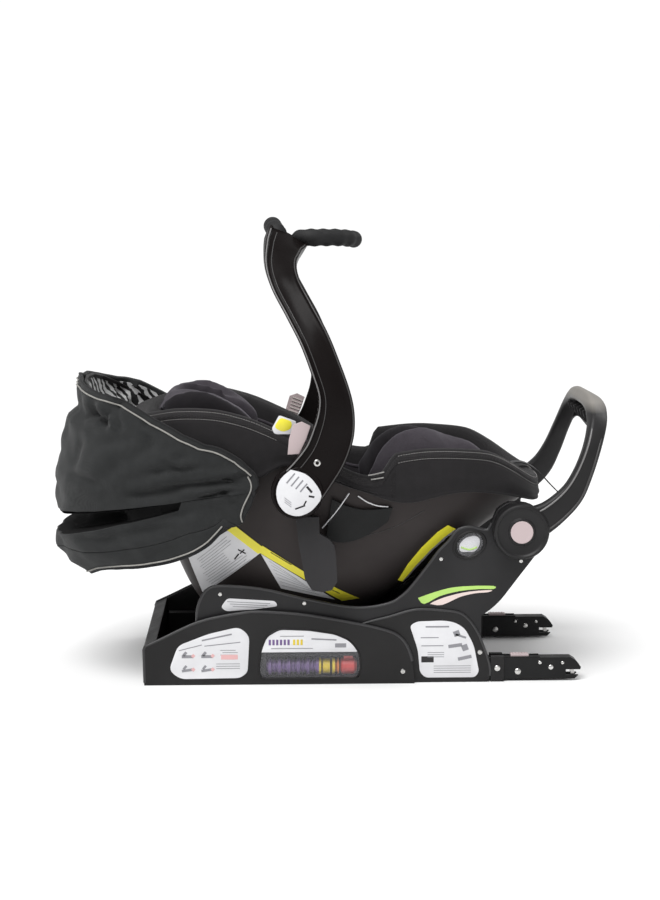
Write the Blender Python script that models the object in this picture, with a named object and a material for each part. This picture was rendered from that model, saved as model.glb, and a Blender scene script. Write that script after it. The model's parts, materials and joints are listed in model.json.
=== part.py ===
"""Infant car seat: a carrier with canopy and carry handle, standing in a base with rigid anchor connectors.

All numbers below are millimetres and degrees; the helpers turn millimetres into metres.
+X is the foot end, -X the head end, +Y the far side, +Z up, and the base stands on Z = 0.
The seat is symmetric about Y = 0, so every side piece is made twice: near (-Y) and far (+Y).
"""
import math

import bmesh
import bpy
from mathutils import Matrix, Vector

MM = 0.001
GAP = 0.4
SIDES = (("near", -1), ("far", 1))

# Lower base
TRAY_HALF = 160.0
TRAY_INNER = 151.0
TRAY_FLOOR = 4.0
TRAY_FLOOR_END = 19.6
TRAY_TOP = [(-273, 56), (-249, 67), (-192, 93), (-134, 104.5), (-106, 106.5), (-48, 102.5), (9, 93),
            (67, 80.5), (96, 68), (111, 42), (117, 6)]
HOUSING_HALF = 154.0
HOUSING_INNER = 150.4
HOUSING_TOP = [(20, 79), (53, 90), (81, 97), (110, 105.5), (132, 107.5), (175, 103.5), (191, 96), (206, 77),
               (218, 50), (227, 20), (225, 2)]
DECK_Z = 49.6

# Strut that takes the crash load, seen through a window in each side of the tray
STRUT_Y = 142.0
STRUT_Z = 23.0
STRUT_RADIUS = 12.5
STRUT_START = -98.0
STRUT_END = 10.0
PLUNGER_END = 34.0
WINDOW = [(-104, 9), (-108, 20), (-105, 50), (-97, 71), (-78, 82), (-35, 80), (2, 74), (24, 64), (38, 45),
          (39, 20), (33, 9)]

# Carriage that holds the carrier
CARRIAGE_HALF = 150.0
CARRIAGE_INNER = 136.0
CARRIAGE_BOTTOM = 50.0
CARRIAGE_LEFT = [(-196.5, 93), (-195, 111), (-187, 131), (-177, 140), (-160, 142.5), (-106, 138), (-48, 124),
                 (-5, 115), (24, 110), (53, 110), (82, 116), (96, 124), (111, 138), (139, 174), (152, 192),
                 (166, 206), (178, 222), (196, 227), (214, 223), (222, 222), (228, 232),
                 (236, 252), (252, 262)]
CARRIAGE_RIGHT = [(304, 206), (292, 186), (270, 157), (255, 137), (241, 119), (227, 106), (214, 97)]
LEVEL_WINDOW = (196.0, 201.0)
BAR_PIVOT = (268.0, 223.0)
BAR_HUB_RADIUS = 40.0
BAR_PIN_RADIUS = 10.0
BUTTON_RADIUS = 16.2
BAR_ARCH = [(287, 162, 230, 50), (316, 162, 241, 44), (340, 157, 273, 34), (357, 153, 303, 28),
            (371, 146, 340, 25), (381, 126, 372, 26), (385, 92, 390, 28), (386, 48, 397, 29), (386, 0, 398, 30)]
BAR_THICKNESS = 21.0

# Rigid connectors, at the standard 280 mm between the two lower anchors
LATCH_SPACING = 280.0
LATCH_Y = LATCH_SPACING / 2
LATCH_HALF = 10.0
LATCH_BOTTOM = 3.0
LATCH_TOP = 34.5
LATCH_BACK = 130.0
LATCH_TIP = 360.0
ANCHOR_SLOT = (338.0, 8.5, 16.5)
JAW_PIVOT = (316.0, 20.0)
JAW_PIN_RADIUS = 3.0

# Carrier shell: a bowl between a level rim loop and a flat floor loop
RIM_CENTRE_X = 6.0
RIM_HALF_X = 296.0
RIM_HALF_Y_HEAD = 177.0
RIM_HALF_Y_FOOT = 165.0
RIM_LINE = [(-291, 372), (-262, 379), (-230, 387), (-195, 389), (-160, 387), (-118, 376), (-69, 354), (-42, 340), (0, 313), (30, 296),
            (54, 291), (77, 293), (129, 300), (165, 300), (208, 297), (236, 292), (272, 283), (303, 270)]
HEM_LINE = [(-291, 356), (-200, 354), (-118, 342), (-69, 328), (-20, 306), (20, 289), (44, 282), (72, 270),
            (100, 264), (129, 268), (157, 277), (193, 280), (228, 276), (257, 269), (278, 261), (303, 246)]
FLOOR_CENTRE_X = -60.0
FLOOR_HALF_X = 115.0
FLOOR_HALF_Y = 62.0
FLOOR_Z = 84.0
WALL = 4.0
SHELL_HEIGHTS = (0.0, 0.03, 0.1, 0.22, 0.4, 0.62, 0.84, 1.0)
LINER_CENTRE_X = 8.0
LINER_HALF_X = 58.0
LINER_HALF_Y = 92.0
LINER_Z = 128.0
LINER_THICKNESS = 20.0
COVER_OUT = 6.0
RIM_STEPS = 40
PANEL_START = 2.0
PANEL_END = 92.0
PANEL_LOW = 0.57
PANEL_HIGH = 0.83

# Head support
HEAD_WING_END = -108.0
HEAD_DOME = [(-258, 397), (-240, 408), (-222, 415), (-202, 417), (-182, 415), (-165, 410), (-148, 402),
             (-135, 394), (-120, 382), (-108, 370)]

# Carry handle
HANDLE_PIVOT = (-53.0, 288.0)
HANDLE_INNER = 206.0
HANDLE_OUTER = 221.0
HANDLE_PIN_RADIUS = 9.0
HANDLE_END_Y = 56.0
HANDLE_ARM = [(-53, 213.5, 288, 70), (-32, 213.5, 314, 64), (-14, 213.5, 341, 61), (-3, 213.5, 371, 59),
              (1, 213.5, 400, 52), (-2, 213, 428, 45), (-14, 209, 464, 43), (-29, 198, 502, 42),
              (-49, 175, 540, 41), (-67, 143, 574, 42), (-74, 110, 600, 46), (-71, 78, 622, 54),
              (-64, 46, 638, 64)]
REAR_GRIP = [(-74, 70, 640), (-82, 40, 650), (-85, 0, 655)]
FRONT_GRIP = [(-60, 70, 637), (-26, 52, 638), (12, 36, 638), (32, 14, 636), (35, 0, 635)]

# Canopy, folded back behind the head
CANOPY_PIVOT = (-122.0, 285.0)
CANOPY_OUTER = 192.0
CANOPY_SKIN = 4.6
CANOPY_RADIUS = 284.0
CANOPY_PIN_RADIUS = 6.0
CANOPY_PANEL_START = 34.0
CANOPY_BOW_START = 24.0
CANOPY_FRONT = (150.0, 186.6)
CANOPY_MID = (189.0, 198.6)
CANOPY_REAR = (199.6, 210.0)
CANOPY_HEM = [(34, 221), (50, 227), (64, 234), (80, 234.5), (100, 232), (135, 225), (174, 217), (212, 212),
              (250, 210), (284, 210)]
FRONT_BOW = 148.8
MID_BOW = 187.8


def clear_scene():
    """Remove every object that the file holds."""
    for item in list(bpy.data.objects):
        bpy.data.objects.remove(item, do_unlink=True)


def material(name, colour, roughness, metallic=0.0):
    """A Principled material of one colour."""
    made = bpy.data.materials.new(name)
    made.use_nodes = True
    shader = made.node_tree.nodes["Principled BSDF"]
    shader.inputs["Base Color"].default_value = (*colour, 1.0)
    shader.inputs["Roughness"].default_value = roughness
    shader.inputs["Metallic"].default_value = metallic
    made.diffuse_color = (*colour, 1.0)
    return made


def empty(name, pivot=(0, 0, 0), parent=None):
    """The empty of one moving body, on its joint's axis."""
    item = bpy.data.objects.new(name, None)
    bpy.context.scene.collection.objects.link(item)
    item.empty_display_size = 0.03
    item["pivot"] = pivot
    base = Vector(parent["pivot"]) if parent else Vector((0, 0, 0))
    item.parent = parent
    item.location = (Vector(pivot) - base) * MM
    return item


def add(name, bm, colour, body):
    """Turn a mesh in millimetres into a named object that rides on a body."""
    bmesh.ops.recalc_face_normals(bm, faces=bm.faces)
    mesh = bpy.data.meshes.new(name)
    shift = Matrix.Translation(-Vector(body["pivot"]))
    bmesh.ops.transform(bm, matrix=Matrix.Scale(MM, 4) @ shift, verts=bm.verts)
    bm.to_mesh(mesh)
    bm.free()
    mesh.materials.append(colour)
    mesh.shade_smooth()
    mesh.set_sharp_from_angle(angle=math.radians(35))
    item = bpy.data.objects.new(name, mesh)
    bpy.context.scene.collection.objects.link(item)
    item.parent = body
    return item


def combine(operation, target, *tools):
    """Cut or join meshes with the exact Boolean solver, and return the result."""
    result = target
    for tool in tools:
        items = []
        for bm in (result, tool):
            bmesh.ops.recalc_face_normals(bm, faces=bm.faces)
            mesh = bpy.data.meshes.new("scratch")
            bm.to_mesh(mesh)
            bm.free()
            item = bpy.data.objects.new("scratch", mesh)
            bpy.context.scene.collection.objects.link(item)
            items.append(item)
        modifier = items[0].modifiers.new("combine", "BOOLEAN")
        modifier.operation = operation
        modifier.solver = "EXACT"
        modifier.object = items[1]
        bpy.context.view_layer.update()
        evaluated = items[0].evaluated_get(bpy.context.evaluated_depsgraph_get())
        result = bmesh.new()
        result.from_mesh(evaluated.to_mesh())
        evaluated.to_mesh_clear()
        for item in items:
            mesh = item.data
            bpy.data.objects.remove(item, do_unlink=True)
            bpy.data.meshes.remove(mesh)
        bmesh.ops.remove_doubles(result, verts=result.verts, dist=0.002)
        bmesh.ops.dissolve_degenerate(result, dist=0.001, edges=result.edges)
    return result


def cut(target, *tools):
    """The target with each tool taken out of it."""
    return combine("DIFFERENCE", target, *tools)


def join(target, *tools):
    """The target and the tools as one body."""
    return combine("UNION", target, *tools)


def spline(points, steps=3):
    """A smooth curve through points of any dimension, with a few steps between each pair."""
    out = []
    last = len(points) - 1
    for i in range(last):
        before, a = points[max(i - 1, 0)], points[i]
        b, after = points[i + 1], points[min(i + 2, last)]
        for k in range(steps):
            t = k / steps
            out.append(tuple(
                0.5 * (2 * q + (r - p) * t + (2 * p - 5 * q + 4 * r - s) * t ** 2 + (3 * q - p - 3 * r + s) * t ** 3)
                for p, q, r, s in zip(before, a, b, after)))
    out.append(tuple(float(v) for v in points[-1]))
    return out


def loft(loops, ring=False, around=False):
    """Skin closed loops of equal length. ring joins the last loop to the first; around closes each loop."""
    bm = bmesh.new()
    rows = [[bm.verts.new(point) for point in loop] for loop in loops]
    count = len(rows[0])
    pairs = list(zip(rows, rows[1:])) + ([(rows[-1], rows[0])] if ring else [])
    for a, b in pairs:
        for k in range(count if around or not ring else count - 1):
            m = (k + 1) % count
            bm.faces.new((a[k], a[m], b[m], b[k]))
    if not ring:
        bm.faces.new(rows[0])
        bm.faces.new(rows[-1])
    return bm


def prism(outline, low, high):
    """An X-Z outline pushed from Y = low to Y = high."""
    return loft([[(x, y, z) for x, z in outline] for y in (low, high)])


def side_prism(outline, side, inner, outer):
    """An X-Z outline between two distances from the middle plane, on one side of it."""
    return prism(outline, side * inner, side * outer)


def box(x0, x1, y0, y1, z0, z1):
    """A rectangular block."""
    return prism([(x0, z0), (x1, z0), (x1, z1), (x0, z1)], y0, y1)


def side_box(x0, x1, side, inner, outer, z0, z1):
    """A block between two distances from the middle plane, on one side of it."""
    return box(x0, x1, side * inner, side * outer, z0, z1)


def disc(centre, radius, side, inner, outer, segments=28):
    """A round piece with its axis along Y, on one side of the middle plane."""
    turn = 2 * math.pi / segments
    outline = [(centre[0] + radius * math.cos(k * turn), centre[1] + radius * math.sin(k * turn))
               for k in range(segments)]
    return side_prism(outline, side, inner, outer)


def arc(centre, radius, start, end, steps):
    """Points along an arc in the X-Z plane, angles in degrees from +X towards +Z."""
    return [(centre[0] + radius * math.cos(math.radians(start + (end - start) * k / steps)),
             centre[1] + radius * math.sin(math.radians(start + (end - start) * k / steps)))
            for k in range(steps + 1)]


def turned_along_x(profile, y, z, segments=20):
    """A turned solid with its axis along X, from (x, radius) pairs."""
    turn = 2 * math.pi / segments
    return loft([[(x, y + r * math.cos(k * turn), z + r * math.sin(k * turn)) for k in range(segments)]
                 for x, r in profile])


def bar_section(width, thickness, chamfer=0.28):
    """Eight corners of a rectangle with its corners cut, as (width, thickness) offsets."""
    w, t = width / 2, thickness / 2
    c = min(w, t) * chamfer * 2
    return [(w, t - c), (w - c, t), (c - w, t), (-w, t - c), (-w, c - t), (c - w, -t), (w - c, -t), (w, c - t)]


def sweep(path, widths, thicknesses, across):
    """Sweep a chamfered bar along a path. across gives the direction of the width for a tangent."""
    loops = []
    for i, point in enumerate(path):
        here = Vector(point)
        tangent = (Vector(path[min(i + 1, len(path) - 1)]) - Vector(path[max(i - 1, 0)])).normalized()
        wide = across(tangent)
        wide = (wide - tangent * wide.dot(tangent)).normalized()
        thick = tangent.cross(wide)
        loops.append([here + wide * w + thick * t for w, t in bar_section(widths[i], thicknesses[i])])
    return loft(loops)


def tube(path, radius, sides=10):
    """Sweep a circle along a path that never runs along Z."""
    loops = []
    for i, point in enumerate(path):
        here = Vector(point)
        tangent = (Vector(path[min(i + 1, len(path) - 1)]) - Vector(path[max(i - 1, 0)])).normalized()
        wide = tangent.cross(Vector((0, 0, 1))).normalized()
        up = wide.cross(tangent)
        loops.append([here + radius * (wide * math.cos(2 * math.pi * k / sides)
                                       + up * math.sin(2 * math.pi * k / sides)) for k in range(sides)])
    return loft(loops)


def interpolate(line, x):
    """The height of an outline at x, straight between its points."""
    if x <= line[0][0]:
        return line[0][1]
    for (x0, z0), (x1, z1) in zip(line, line[1:]):
        if x <= x1:
            return z0 + (z1 - z0) * (x - x0) / (x1 - x0)
    return line[-1][1]


def smooth_step(low, high, x):
    """0 below low, 1 above high, and an S curve between."""
    t = min(max((x - low) / (high - low), 0.0), 1.0)
    return t * t * (3 - 2 * t)


def superellipse(angle, power):
    """A point on a unit superellipse."""
    c, s = math.cos(angle), math.sin(angle)
    return math.copysign(abs(c) ** (2 / power), c), math.copysign(abs(s) ** (2 / power), s)


def rim_point(angle, out=0.0):
    """The rim loop of the shell at an angle, moved outwards by a distance."""
    c, s = superellipse(angle, 3.6)
    x = RIM_CENTRE_X + (RIM_HALF_X + out) * c
    half = RIM_HALF_Y_HEAD + (RIM_HALF_Y_FOOT - RIM_HALF_Y_HEAD) * smooth_step(-60, 160, x)
    return Vector((x, (half + out) * s, interpolate(RIM_LINE, x)))


def wall_power(angle):
    """How fast the bowl opens: below 1 it bulges, at 1 it is straight. Head, sides and foot differ."""
    c = math.cos(angle)
    end = 1.0 if c > 0 else 0.6
    return 0.42 + (end - 0.42) * abs(c) ** 1.5


def bowl_point(angle, height, inset):
    """The shell's surface: height runs from 0 at the floor loop to 1 at the rim, inset moves it inwards."""
    rim = rim_point(angle, -inset)
    c, s = superellipse(angle, 3.0)
    floor = Vector((FLOOR_CENTRE_X + (FLOOR_HALF_X - inset) * c, (FLOOR_HALF_Y - inset) * s, FLOOR_Z + inset))
    spread = height ** wall_power(angle)
    return Vector((floor.x + (rim.x - floor.x) * spread, floor.y + (rim.y - floor.y) * spread,
                   floor.z + (rim.z - floor.z) * height))


def liner_point(angle, height):
    """The seating surface of the cover: a reclined back, a seat and a slope up to the foot end."""
    rim = rim_point(angle, -WALL - LINER_THICKNESS)
    c, s = superellipse(angle, 2.6)
    floor = Vector((LINER_CENTRE_X + LINER_HALF_X * c, LINER_HALF_Y * s, LINER_Z))
    spread = height ** (0.62 + 0.38 * abs(math.cos(angle)))
    return Vector((floor.x + (rim.x - floor.x) * spread, floor.y + (rim.y - floor.y) * spread,
                   floor.z + (rim.z - floor.z) * height))


def roll_height(x):
    """How far the cover stands above the shell's rim: low at the head, a thick roll at the foot end."""
    return 10 + 30 * smooth_step(66, 92, x) - 22 * smooth_step(215, 303, x)


def hem_depth(x):
    """How far the cover's hem hangs below the shell's rim."""
    return interpolate(RIM_LINE, x) - interpolate(HEM_LINE, x)


def angles(steps=RIM_STEPS):
    """Angles round the rim loop, half a step off the middle plane so that both sides match."""
    return [2 * math.pi * (k + 0.5) / steps for k in range(steps)]


def bowl_solid(inset):
    """The solid that fills the shell's outer form up to the rim, used to trim what is fixed to it."""
    return loft([[bowl_point(a, h, inset) for a in angles()] for h in SHELL_HEIGHTS])


def carrier_shell():
    """The moulded bucket: one wall, open at the top, with the bosses for the handle and the canopy."""
    outer = [[bowl_point(a, h, 0) for a in angles()] for h in SHELL_HEIGHTS]
    inner = [[bowl_point(a, h, WALL) for a in angles()] for h in reversed(SHELL_HEIGHTS)]
    shell = loft(outer + inner)
    for _, side in SIDES:
        boss = disc(HANDLE_PIVOT, 24, side, 150, HANDLE_INNER - GAP, 20)
        hub = disc(CANOPY_PIVOT, 13, side, 150, 184, 16)
        shell = join(shell, cut(boss, bowl_solid(1.5)), cut(hub, bowl_solid(1.5)))
        shell = cut(shell, disc(HANDLE_PIVOT, HANDLE_PIN_RADIUS + GAP, side, 188, 210, 16),
                    disc(CANOPY_PIVOT, CANOPY_PIN_RADIUS + GAP, side, 172, 190, 16))
    return shell


def cover_solid():
    """The padded cover: a skirt outside the shell, a roll over its rim and a liner down to the seat."""
    heights = (1.0, 0.8, 0.58, 0.36, 0.18, 0.07, 0.0)
    loops = []
    for a in angles():
        rim = rim_point(a)
        roll, hem = roll_height(rim.x), hem_depth(rim.x)
        loop = []
        for out, up in ((COVER_OUT, -hem), (COVER_OUT, -hem * 0.4), (COVER_OUT, 0), (COVER_OUT - 2, roll * 0.7),
                        (-4, roll), (-WALL - 14, roll * 0.8)):
            loop.append(rim_point(a, out) + Vector((0, 0, up)))
        loop += [liner_point(a, h) for h in heights]
        loops.append(loop)
    top = [list(row) for row in zip(*loops)]
    under = []
    for out, up in ((GAP, -1), (GAP, 0), (GAP, GAP)):
        under.append([rim_point(a, out) + Vector((0, 0, up * hem_depth(rim_point(a).x) if up < 0 else up))
                      for a in angles()])
    under.append([bowl_point(a, 1.0, WALL + GAP) + Vector((0, 0, GAP)) for a in angles()])
    under += [[bowl_point(a, h, WALL + GAP) for a in angles()] for h in SHELL_HEIGHTS[-2::-1]]
    return loft(list(reversed(top)) + under)


def canopy_outline(inset, start, steps=18):
    """The canopy's section from one hub over the top to the other, as (y, radius) pairs."""
    half, high = CANOPY_OUTER - inset, CANOPY_RADIUS - inset
    points = []
    for k in range(steps + 1):
        c, s = superellipse(math.pi * (0.04 + 0.92 * k / steps), 3.0)
        points.append((-half * c, high * s))
    return [(-half, start)] + points + [(half, start)]


def canopy_at(y, radius, angle):
    """A point of the canopy at an angle about its pivot."""
    turn = math.radians(angle)
    return Vector((CANOPY_PIVOT[0] + radius * math.cos(turn), y, CANOPY_PIVOT[1] + radius * math.sin(turn)))


def canopy_panel(span, steps, bulge, hem=None):
    """A cloth panel between two angles about the canopy's pivot, as a closed skin. hem gives its far edge."""
    outer, inner = canopy_outline(0, CANOPY_PANEL_START), canopy_outline(CANOPY_SKIN, CANOPY_PANEL_START)
    loops = []
    for k in range(steps + 1):
        swell = bulge * math.sin(math.pi * k / steps) / CANOPY_RADIUS
        row = []
        for y, r in outer + inner[::-1]:
            end = interpolate(hem, r) if hem else span[1]
            row.append(canopy_at(y, r + swell * r * r, span[0] + (end - span[0]) * k / steps))
        loops.append(row)
    return loft(loops)


def canopy_bow(angle, eye_inner, eye_outer):
    """A flat spring bow along the edge of a panel, with an eye round each canopy pin."""
    outer = canopy_outline(0.2, CANOPY_BOW_START, 14)
    inner = canopy_outline(CANOPY_SKIN - 0.2, CANOPY_BOW_START, 14)
    turn = math.degrees(3.0 / CANOPY_RADIUS)
    loops = []
    for end in (angle - turn, angle + turn):
        loops.append([canopy_at(y, r, end) for y, r in outer] + [canopy_at(y, r, end) for y, r in reversed(inner)])
    bow = loft(loops)
    radial = Vector((math.cos(math.radians(angle)), 0, math.sin(math.radians(angle))))
    sideways = Vector((-radial.z, 0, radial.x))
    centre = Vector((CANOPY_PIVOT[0], 0, CANOPY_PIVOT[1]))
    for _, side in SIDES:
        eye = disc(CANOPY_PIVOT, 12, side, eye_inner, eye_outer, 18)
        corners = [centre + radial * r + sideways * s for r, s in ((8, -3), (30, -3), (30, 3), (8, 3))]
        tongue = side_prism([(c.x, c.z) for c in corners], side, eye_inner + 0.1, eye_outer - 0.1)
        hole = disc(CANOPY_PIVOT, CANOPY_PIN_RADIUS + GAP, side, eye_inner - 2, eye_outer + 2, 16)
        bow = cut(join(bow, eye, tongue), hole)
    return bow


def mirrored_path(points):
    """A half path that ends on the middle plane, continued by its mirror image."""
    other = [(x, -y, z, *rest) for x, y, z, *rest in reversed(points[:-1])]
    return points + other


def build_base(root, colours):
    """The tray, the connector housing and the windows."""
    outline = [(-272.5, 0), (-273, 3)] + spline(TRAY_TOP) + [(117, 0)]
    cavity = [(-255, TRAY_FLOOR), (TRAY_FLOOR_END, TRAY_FLOOR), (TRAY_FLOOR_END, 200), (-255, 200)]
    tray = cut(prism(outline, -TRAY_HALF, TRAY_HALF), prism(cavity, -TRAY_INNER, TRAY_INNER),
               box(TRAY_FLOOR_END, 130, -HOUSING_HALF - 0.3, HOUSING_HALF + 0.3, -5, 200))
    for _, side in SIDES:
        rail = side_box(-250, 12, side, 108, 124, 2, DECK_Z)
        anchor = side_box(-114, STRUT_START - GAP, side, 127, TRAY_INNER + 1, 2, 42)
        tray = join(tray, rail, anchor)
        tray = cut(tray, side_prism(WINDOW, side, TRAY_HALF - 2, TRAY_HALF + 2),
                   side_box(STRUT_START - GAP, 37, side, TRAY_INNER - 2, TRAY_HALF, 9.5, 41))
    add("base_tray", tray, colours["black"], root)

    outline = [(20, 0)] + spline(HOUSING_TOP) + [(222, 0)]
    housing = cut(prism(outline, -HOUSING_HALF, HOUSING_HALF),
                  box(0, 240, -HOUSING_INNER, HOUSING_INNER, DECK_Z, 200),
                  box(0, 214, -122, 122, 5, 60))
    for _, side in SIDES:
        housing = cut(housing, side_box(0, 38, side, 127, 160, 9.5, 60),
                      side_box(42, 240, side, LATCH_Y - LATCH_HALF - GAP, LATCH_Y + LATCH_HALF + GAP,
                               LATCH_BOTTOM - GAP, LATCH_TOP + GAP),
                      side_box(160, 240, side, LATCH_Y - 7, LATCH_Y + 7, 30, 39.4))
    add("latch_housing", housing, colours["black"], root)

    pane = [(x * 0.992 - 0.3, 45 + (z - 45) * 0.985) for x, z in WINDOW]
    for name, side in SIDES:
        add("strut_window_" + name, side_prism(pane, side, TRAY_HALF - 1.7, TRAY_HALF), colours["clear"], root)


def build_struts(root, carriage, colours):
    """On each side a stack of crush discs between the tray's anchor and a plunger on the carriage."""
    profile = [(STRUT_START, 8)]
    pitch = (STRUT_END - STRUT_START) / 6
    for k in range(6):
        left = STRUT_START + k * pitch
        profile += [(left + 1, 8), (left + 1.5, STRUT_RADIUS), (left + 6, STRUT_RADIUS), (left + 6.5, 8)]
    profile += [(STRUT_END, 8)]
    for name, side in SIDES:
        add("strut_stack_" + name, turned_along_x(profile, side * STRUT_Y, STRUT_Z, 14), colours["purple"], root)
        head = [(STRUT_END + GAP, 9), (STRUT_END + 3, STRUT_RADIUS), (PLUNGER_END - 4, STRUT_RADIUS),
                (PLUNGER_END, 9)]
        plunger = join(turned_along_x(head, side * STRUT_Y, STRUT_Z, 16),
                       side_box(15, 28, side, 136, 147, 28, CARRIAGE_BOTTOM - GAP))
        add("strut_plunger_" + name, plunger, colours["red"], carriage)


def build_carriage(body, colours):
    """The cradle that the carrier drops into, with the ears that carry the stabiliser bar."""
    ear = arc(BAR_PIVOT, 39, 88, -8, 8)
    outline = ([(-196.5, CARRIAGE_BOTTOM)] + spline(CARRIAGE_LEFT, 2) + ear + spline(CARRIAGE_RIGHT, 2)
               + [(214, CARRIAGE_BOTTOM)])
    carriage = prism(outline, -CARRIAGE_HALF, CARRIAGE_HALF)
    seat = FLOOR_Z - GAP
    saddle = [(-230, 100), (-182, seat), (57, seat), (110, 118), (226, 205), (330, 285), (330, 420), (-230, 420)]
    under = [(-186, 40), (-186, 76), (56, 76), (104, 108), (196, 176), (200, 40)]
    carriage = cut(carriage, prism(saddle, -CARRIAGE_INNER, CARRIAGE_INNER), prism(under, -142, 142),
                   box(212, 400, -CARRIAGE_INNER, CARRIAGE_INNER, 0, 420))
    for name, side in SIDES:
        add("bar_pin_" + name, disc(BAR_PIVOT, BAR_PIN_RADIUS, side, CARRIAGE_INNER + 0.5, 162, 20),
            colours["steel"], body)
        carriage = cut(carriage, disc(BAR_PIVOT, BAR_PIN_RADIUS + GAP, side, 130, 155, 20))
    x0, z0 = LEVEL_WINDOW
    window = arc((x0 + 4, z0 + 3), 16, -40, 140, 7) + arc((x0 - 4, z0 - 3), 15, 140, 320, 7)
    lens = [(x0 + (x - x0) * 0.96, z0 + (z - z0) * 0.96) for x, z in window]
    for name, side in SIDES:
        carriage = cut(carriage, side_prism(window, side, CARRIAGE_HALF - 3, CARRIAGE_HALF + 3))
        add("level_window_" + name, side_prism(lens, side, CARRIAGE_HALF - 2.6, CARRIAGE_HALF + GAP),
            colours["clear"], body)
    add("carriage", carriage, colours["black"], body)


def build_stabiliser_bar(body, colours):
    """The arch that swings on two hubs, and the round release button in each hub."""
    path = spline(mirrored_path(BAR_ARCH), 2)
    lean = Vector((-math.sin(math.radians(62)), 0, math.cos(math.radians(62))))
    bar = sweep([p[:3] for p in path], [p[3] for p in path], [BAR_THICKNESS] * len(path), lambda tangent: lean)
    for _, side in SIDES:
        bar = join(bar, disc(BAR_PIVOT, BAR_HUB_RADIUS, side, CARRIAGE_HALF + 0.5, 172, 32))
        bar = cut(bar, disc(BAR_PIVOT, BAR_PIN_RADIUS + GAP, side, 140, 162.5, 20),
                  disc(BAR_PIVOT, BUTTON_RADIUS + GAP, side, 162.5, 180, 24))
    add("stabiliser_bar", bar, colours["black"], body)
    for name, side in SIDES:
        button_body = empty("bar_button_body_" + name, (BAR_PIVOT[0], side * 170, BAR_PIVOT[1]), body)
        add("bar_button_" + name, disc(BAR_PIVOT, BUTTON_RADIUS, side, 169, 177, 24), colours["mauve"],
            button_body)


def build_latch(name, side, root, colours):
    """One rigid connector: its bracket, sliding arm, hook and release slider."""
    inner, outer = LATCH_Y - LATCH_HALF, LATCH_Y + LATCH_HALF
    bracket = cut(side_box(228, 247, side, inner - 3, outer + 3.5, 0.4, 37.6),
                  side_box(220, 260, side, inner - GAP, outer + GAP, LATCH_BOTTOM - GAP, LATCH_TOP + GAP),
                  side_box(220, 260, side, LATCH_Y - 7, LATCH_Y + 7, 30, 45))
    add("latch_bracket_" + name, bracket, colours["black"], root)

    arm_body = empty("connector_body_" + name, (228, side * LATCH_Y, 19), root)
    outline = [(LATCH_BACK, LATCH_BOTTOM), (351, LATCH_BOTTOM), (356, 8), (LATCH_TIP, 20), (352, 30),
               (345, LATCH_TOP), (LATCH_BACK, LATCH_TOP)]
    slot, low, high = ANCHOR_SLOT
    arm = cut(side_prism(outline, side, inner, outer),
              side_box(292, 380, side, LATCH_Y - 6, LATCH_Y + 6, -5, 29),
              side_box(slot, 380, side, inner - 5, outer + 5, low, high),
              side_box(140, 280, side, LATCH_Y - 7, LATCH_Y + 7, -5, 29))
    arm = join(arm, disc(JAW_PIVOT, JAW_PIN_RADIUS, side, inner + 2, outer - 2, 12))
    add("connector_" + name, arm, colours["latch"], arm_body)

    jaw_body = empty("jaw_body_" + name, (JAW_PIVOT[0], side * LATCH_Y, JAW_PIVOT[1]), arm_body)
    outline = [(309, 24), (314, 27), (322, 26), (336, 21.5), (350, 19.5), (351, 9.5), (346, 9.5), (345, 16.8),
               (336, 17.2), (325, 14), (318, 12), (311, 14)]
    jaw = cut(side_prism(outline, side, LATCH_Y - 5.5, LATCH_Y + 5.5),
              disc(JAW_PIVOT, JAW_PIN_RADIUS + GAP, side, inner, outer, 12))
    add("connector_jaw_" + name, jaw, colours["steel"], jaw_body)

    slider_body = empty("slider_body_" + name, (271, side * LATCH_Y, 36), arm_body)
    add("connector_release_" + name, side_box(258, 284, side, LATCH_Y - 6, LATCH_Y + 6, LATCH_TOP + GAP, 38.6),
        colours["mauve"], slider_body)


def build_carrier(body, colours):
    """The shell with its cover, pads, harness and side pieces."""
    add("carrier_shell", carrier_shell(), colours["shell"], body)
    add("seat_cover", cover_solid(), colours["fabric"], body)
    for name, side in SIDES:
        plate = spline([(-55, 250), (-50, 207), (-46, 187), (-42, 161), (-32, 145), (-18, 142), (-4, 145),
                        (4, 157), (2, 195), (0, 208), (-6, 217), (-21, 226), (-22, 250)], 1)
        guide = join(side_prism(plate, side, 184, 196), side_box(-46, -26, side, 140, 190, 196, 246))
        guide = cut(guide, bowl_solid(-GAP), disc(HANDLE_PIVOT, 24.5, side, 100, 300, 24))
        add("belt_guide_" + name, guide, colours["grey"], body)
        pin = join(disc(CANOPY_PIVOT, CANOPY_PIN_RADIUS, side, 173, 194, 16),
                   disc(CANOPY_PIVOT, CANOPY_PIN_RADIUS + 4, side, 192.4, 195, 16))
        add("canopy_pin_" + name, pin, colours["black"], body)
        add("side_panel_" + name, side_panel(side), colours["grey"], body)
    build_pads(body, colours)
    build_harness(body, colours)
    build_adjuster(body, colours)


def back_point(distance, off):
    """A point on the reclined back in the middle plane: distance down from the head end, off its surface."""
    top = liner_point(math.pi, 1.0)
    low = liner_point(math.pi, 0.0)
    run = Vector((low.x - top.x, 0, low.z - top.z)).normalized()
    normal = Vector((-run.z, 0, run.x))
    return Vector((top.x, 0, top.z)) + run * distance + normal * off


def head_pad_heights(x):
    """The underside and the top of the head support at x."""
    high = interpolate(HEAD_DOME, x)
    if x < -215:
        return max(high - 46, 393 - 0.8 * (x + 258)), high
    return high - 46 + 8 * smooth_step(-215, -110, x), high


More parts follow.
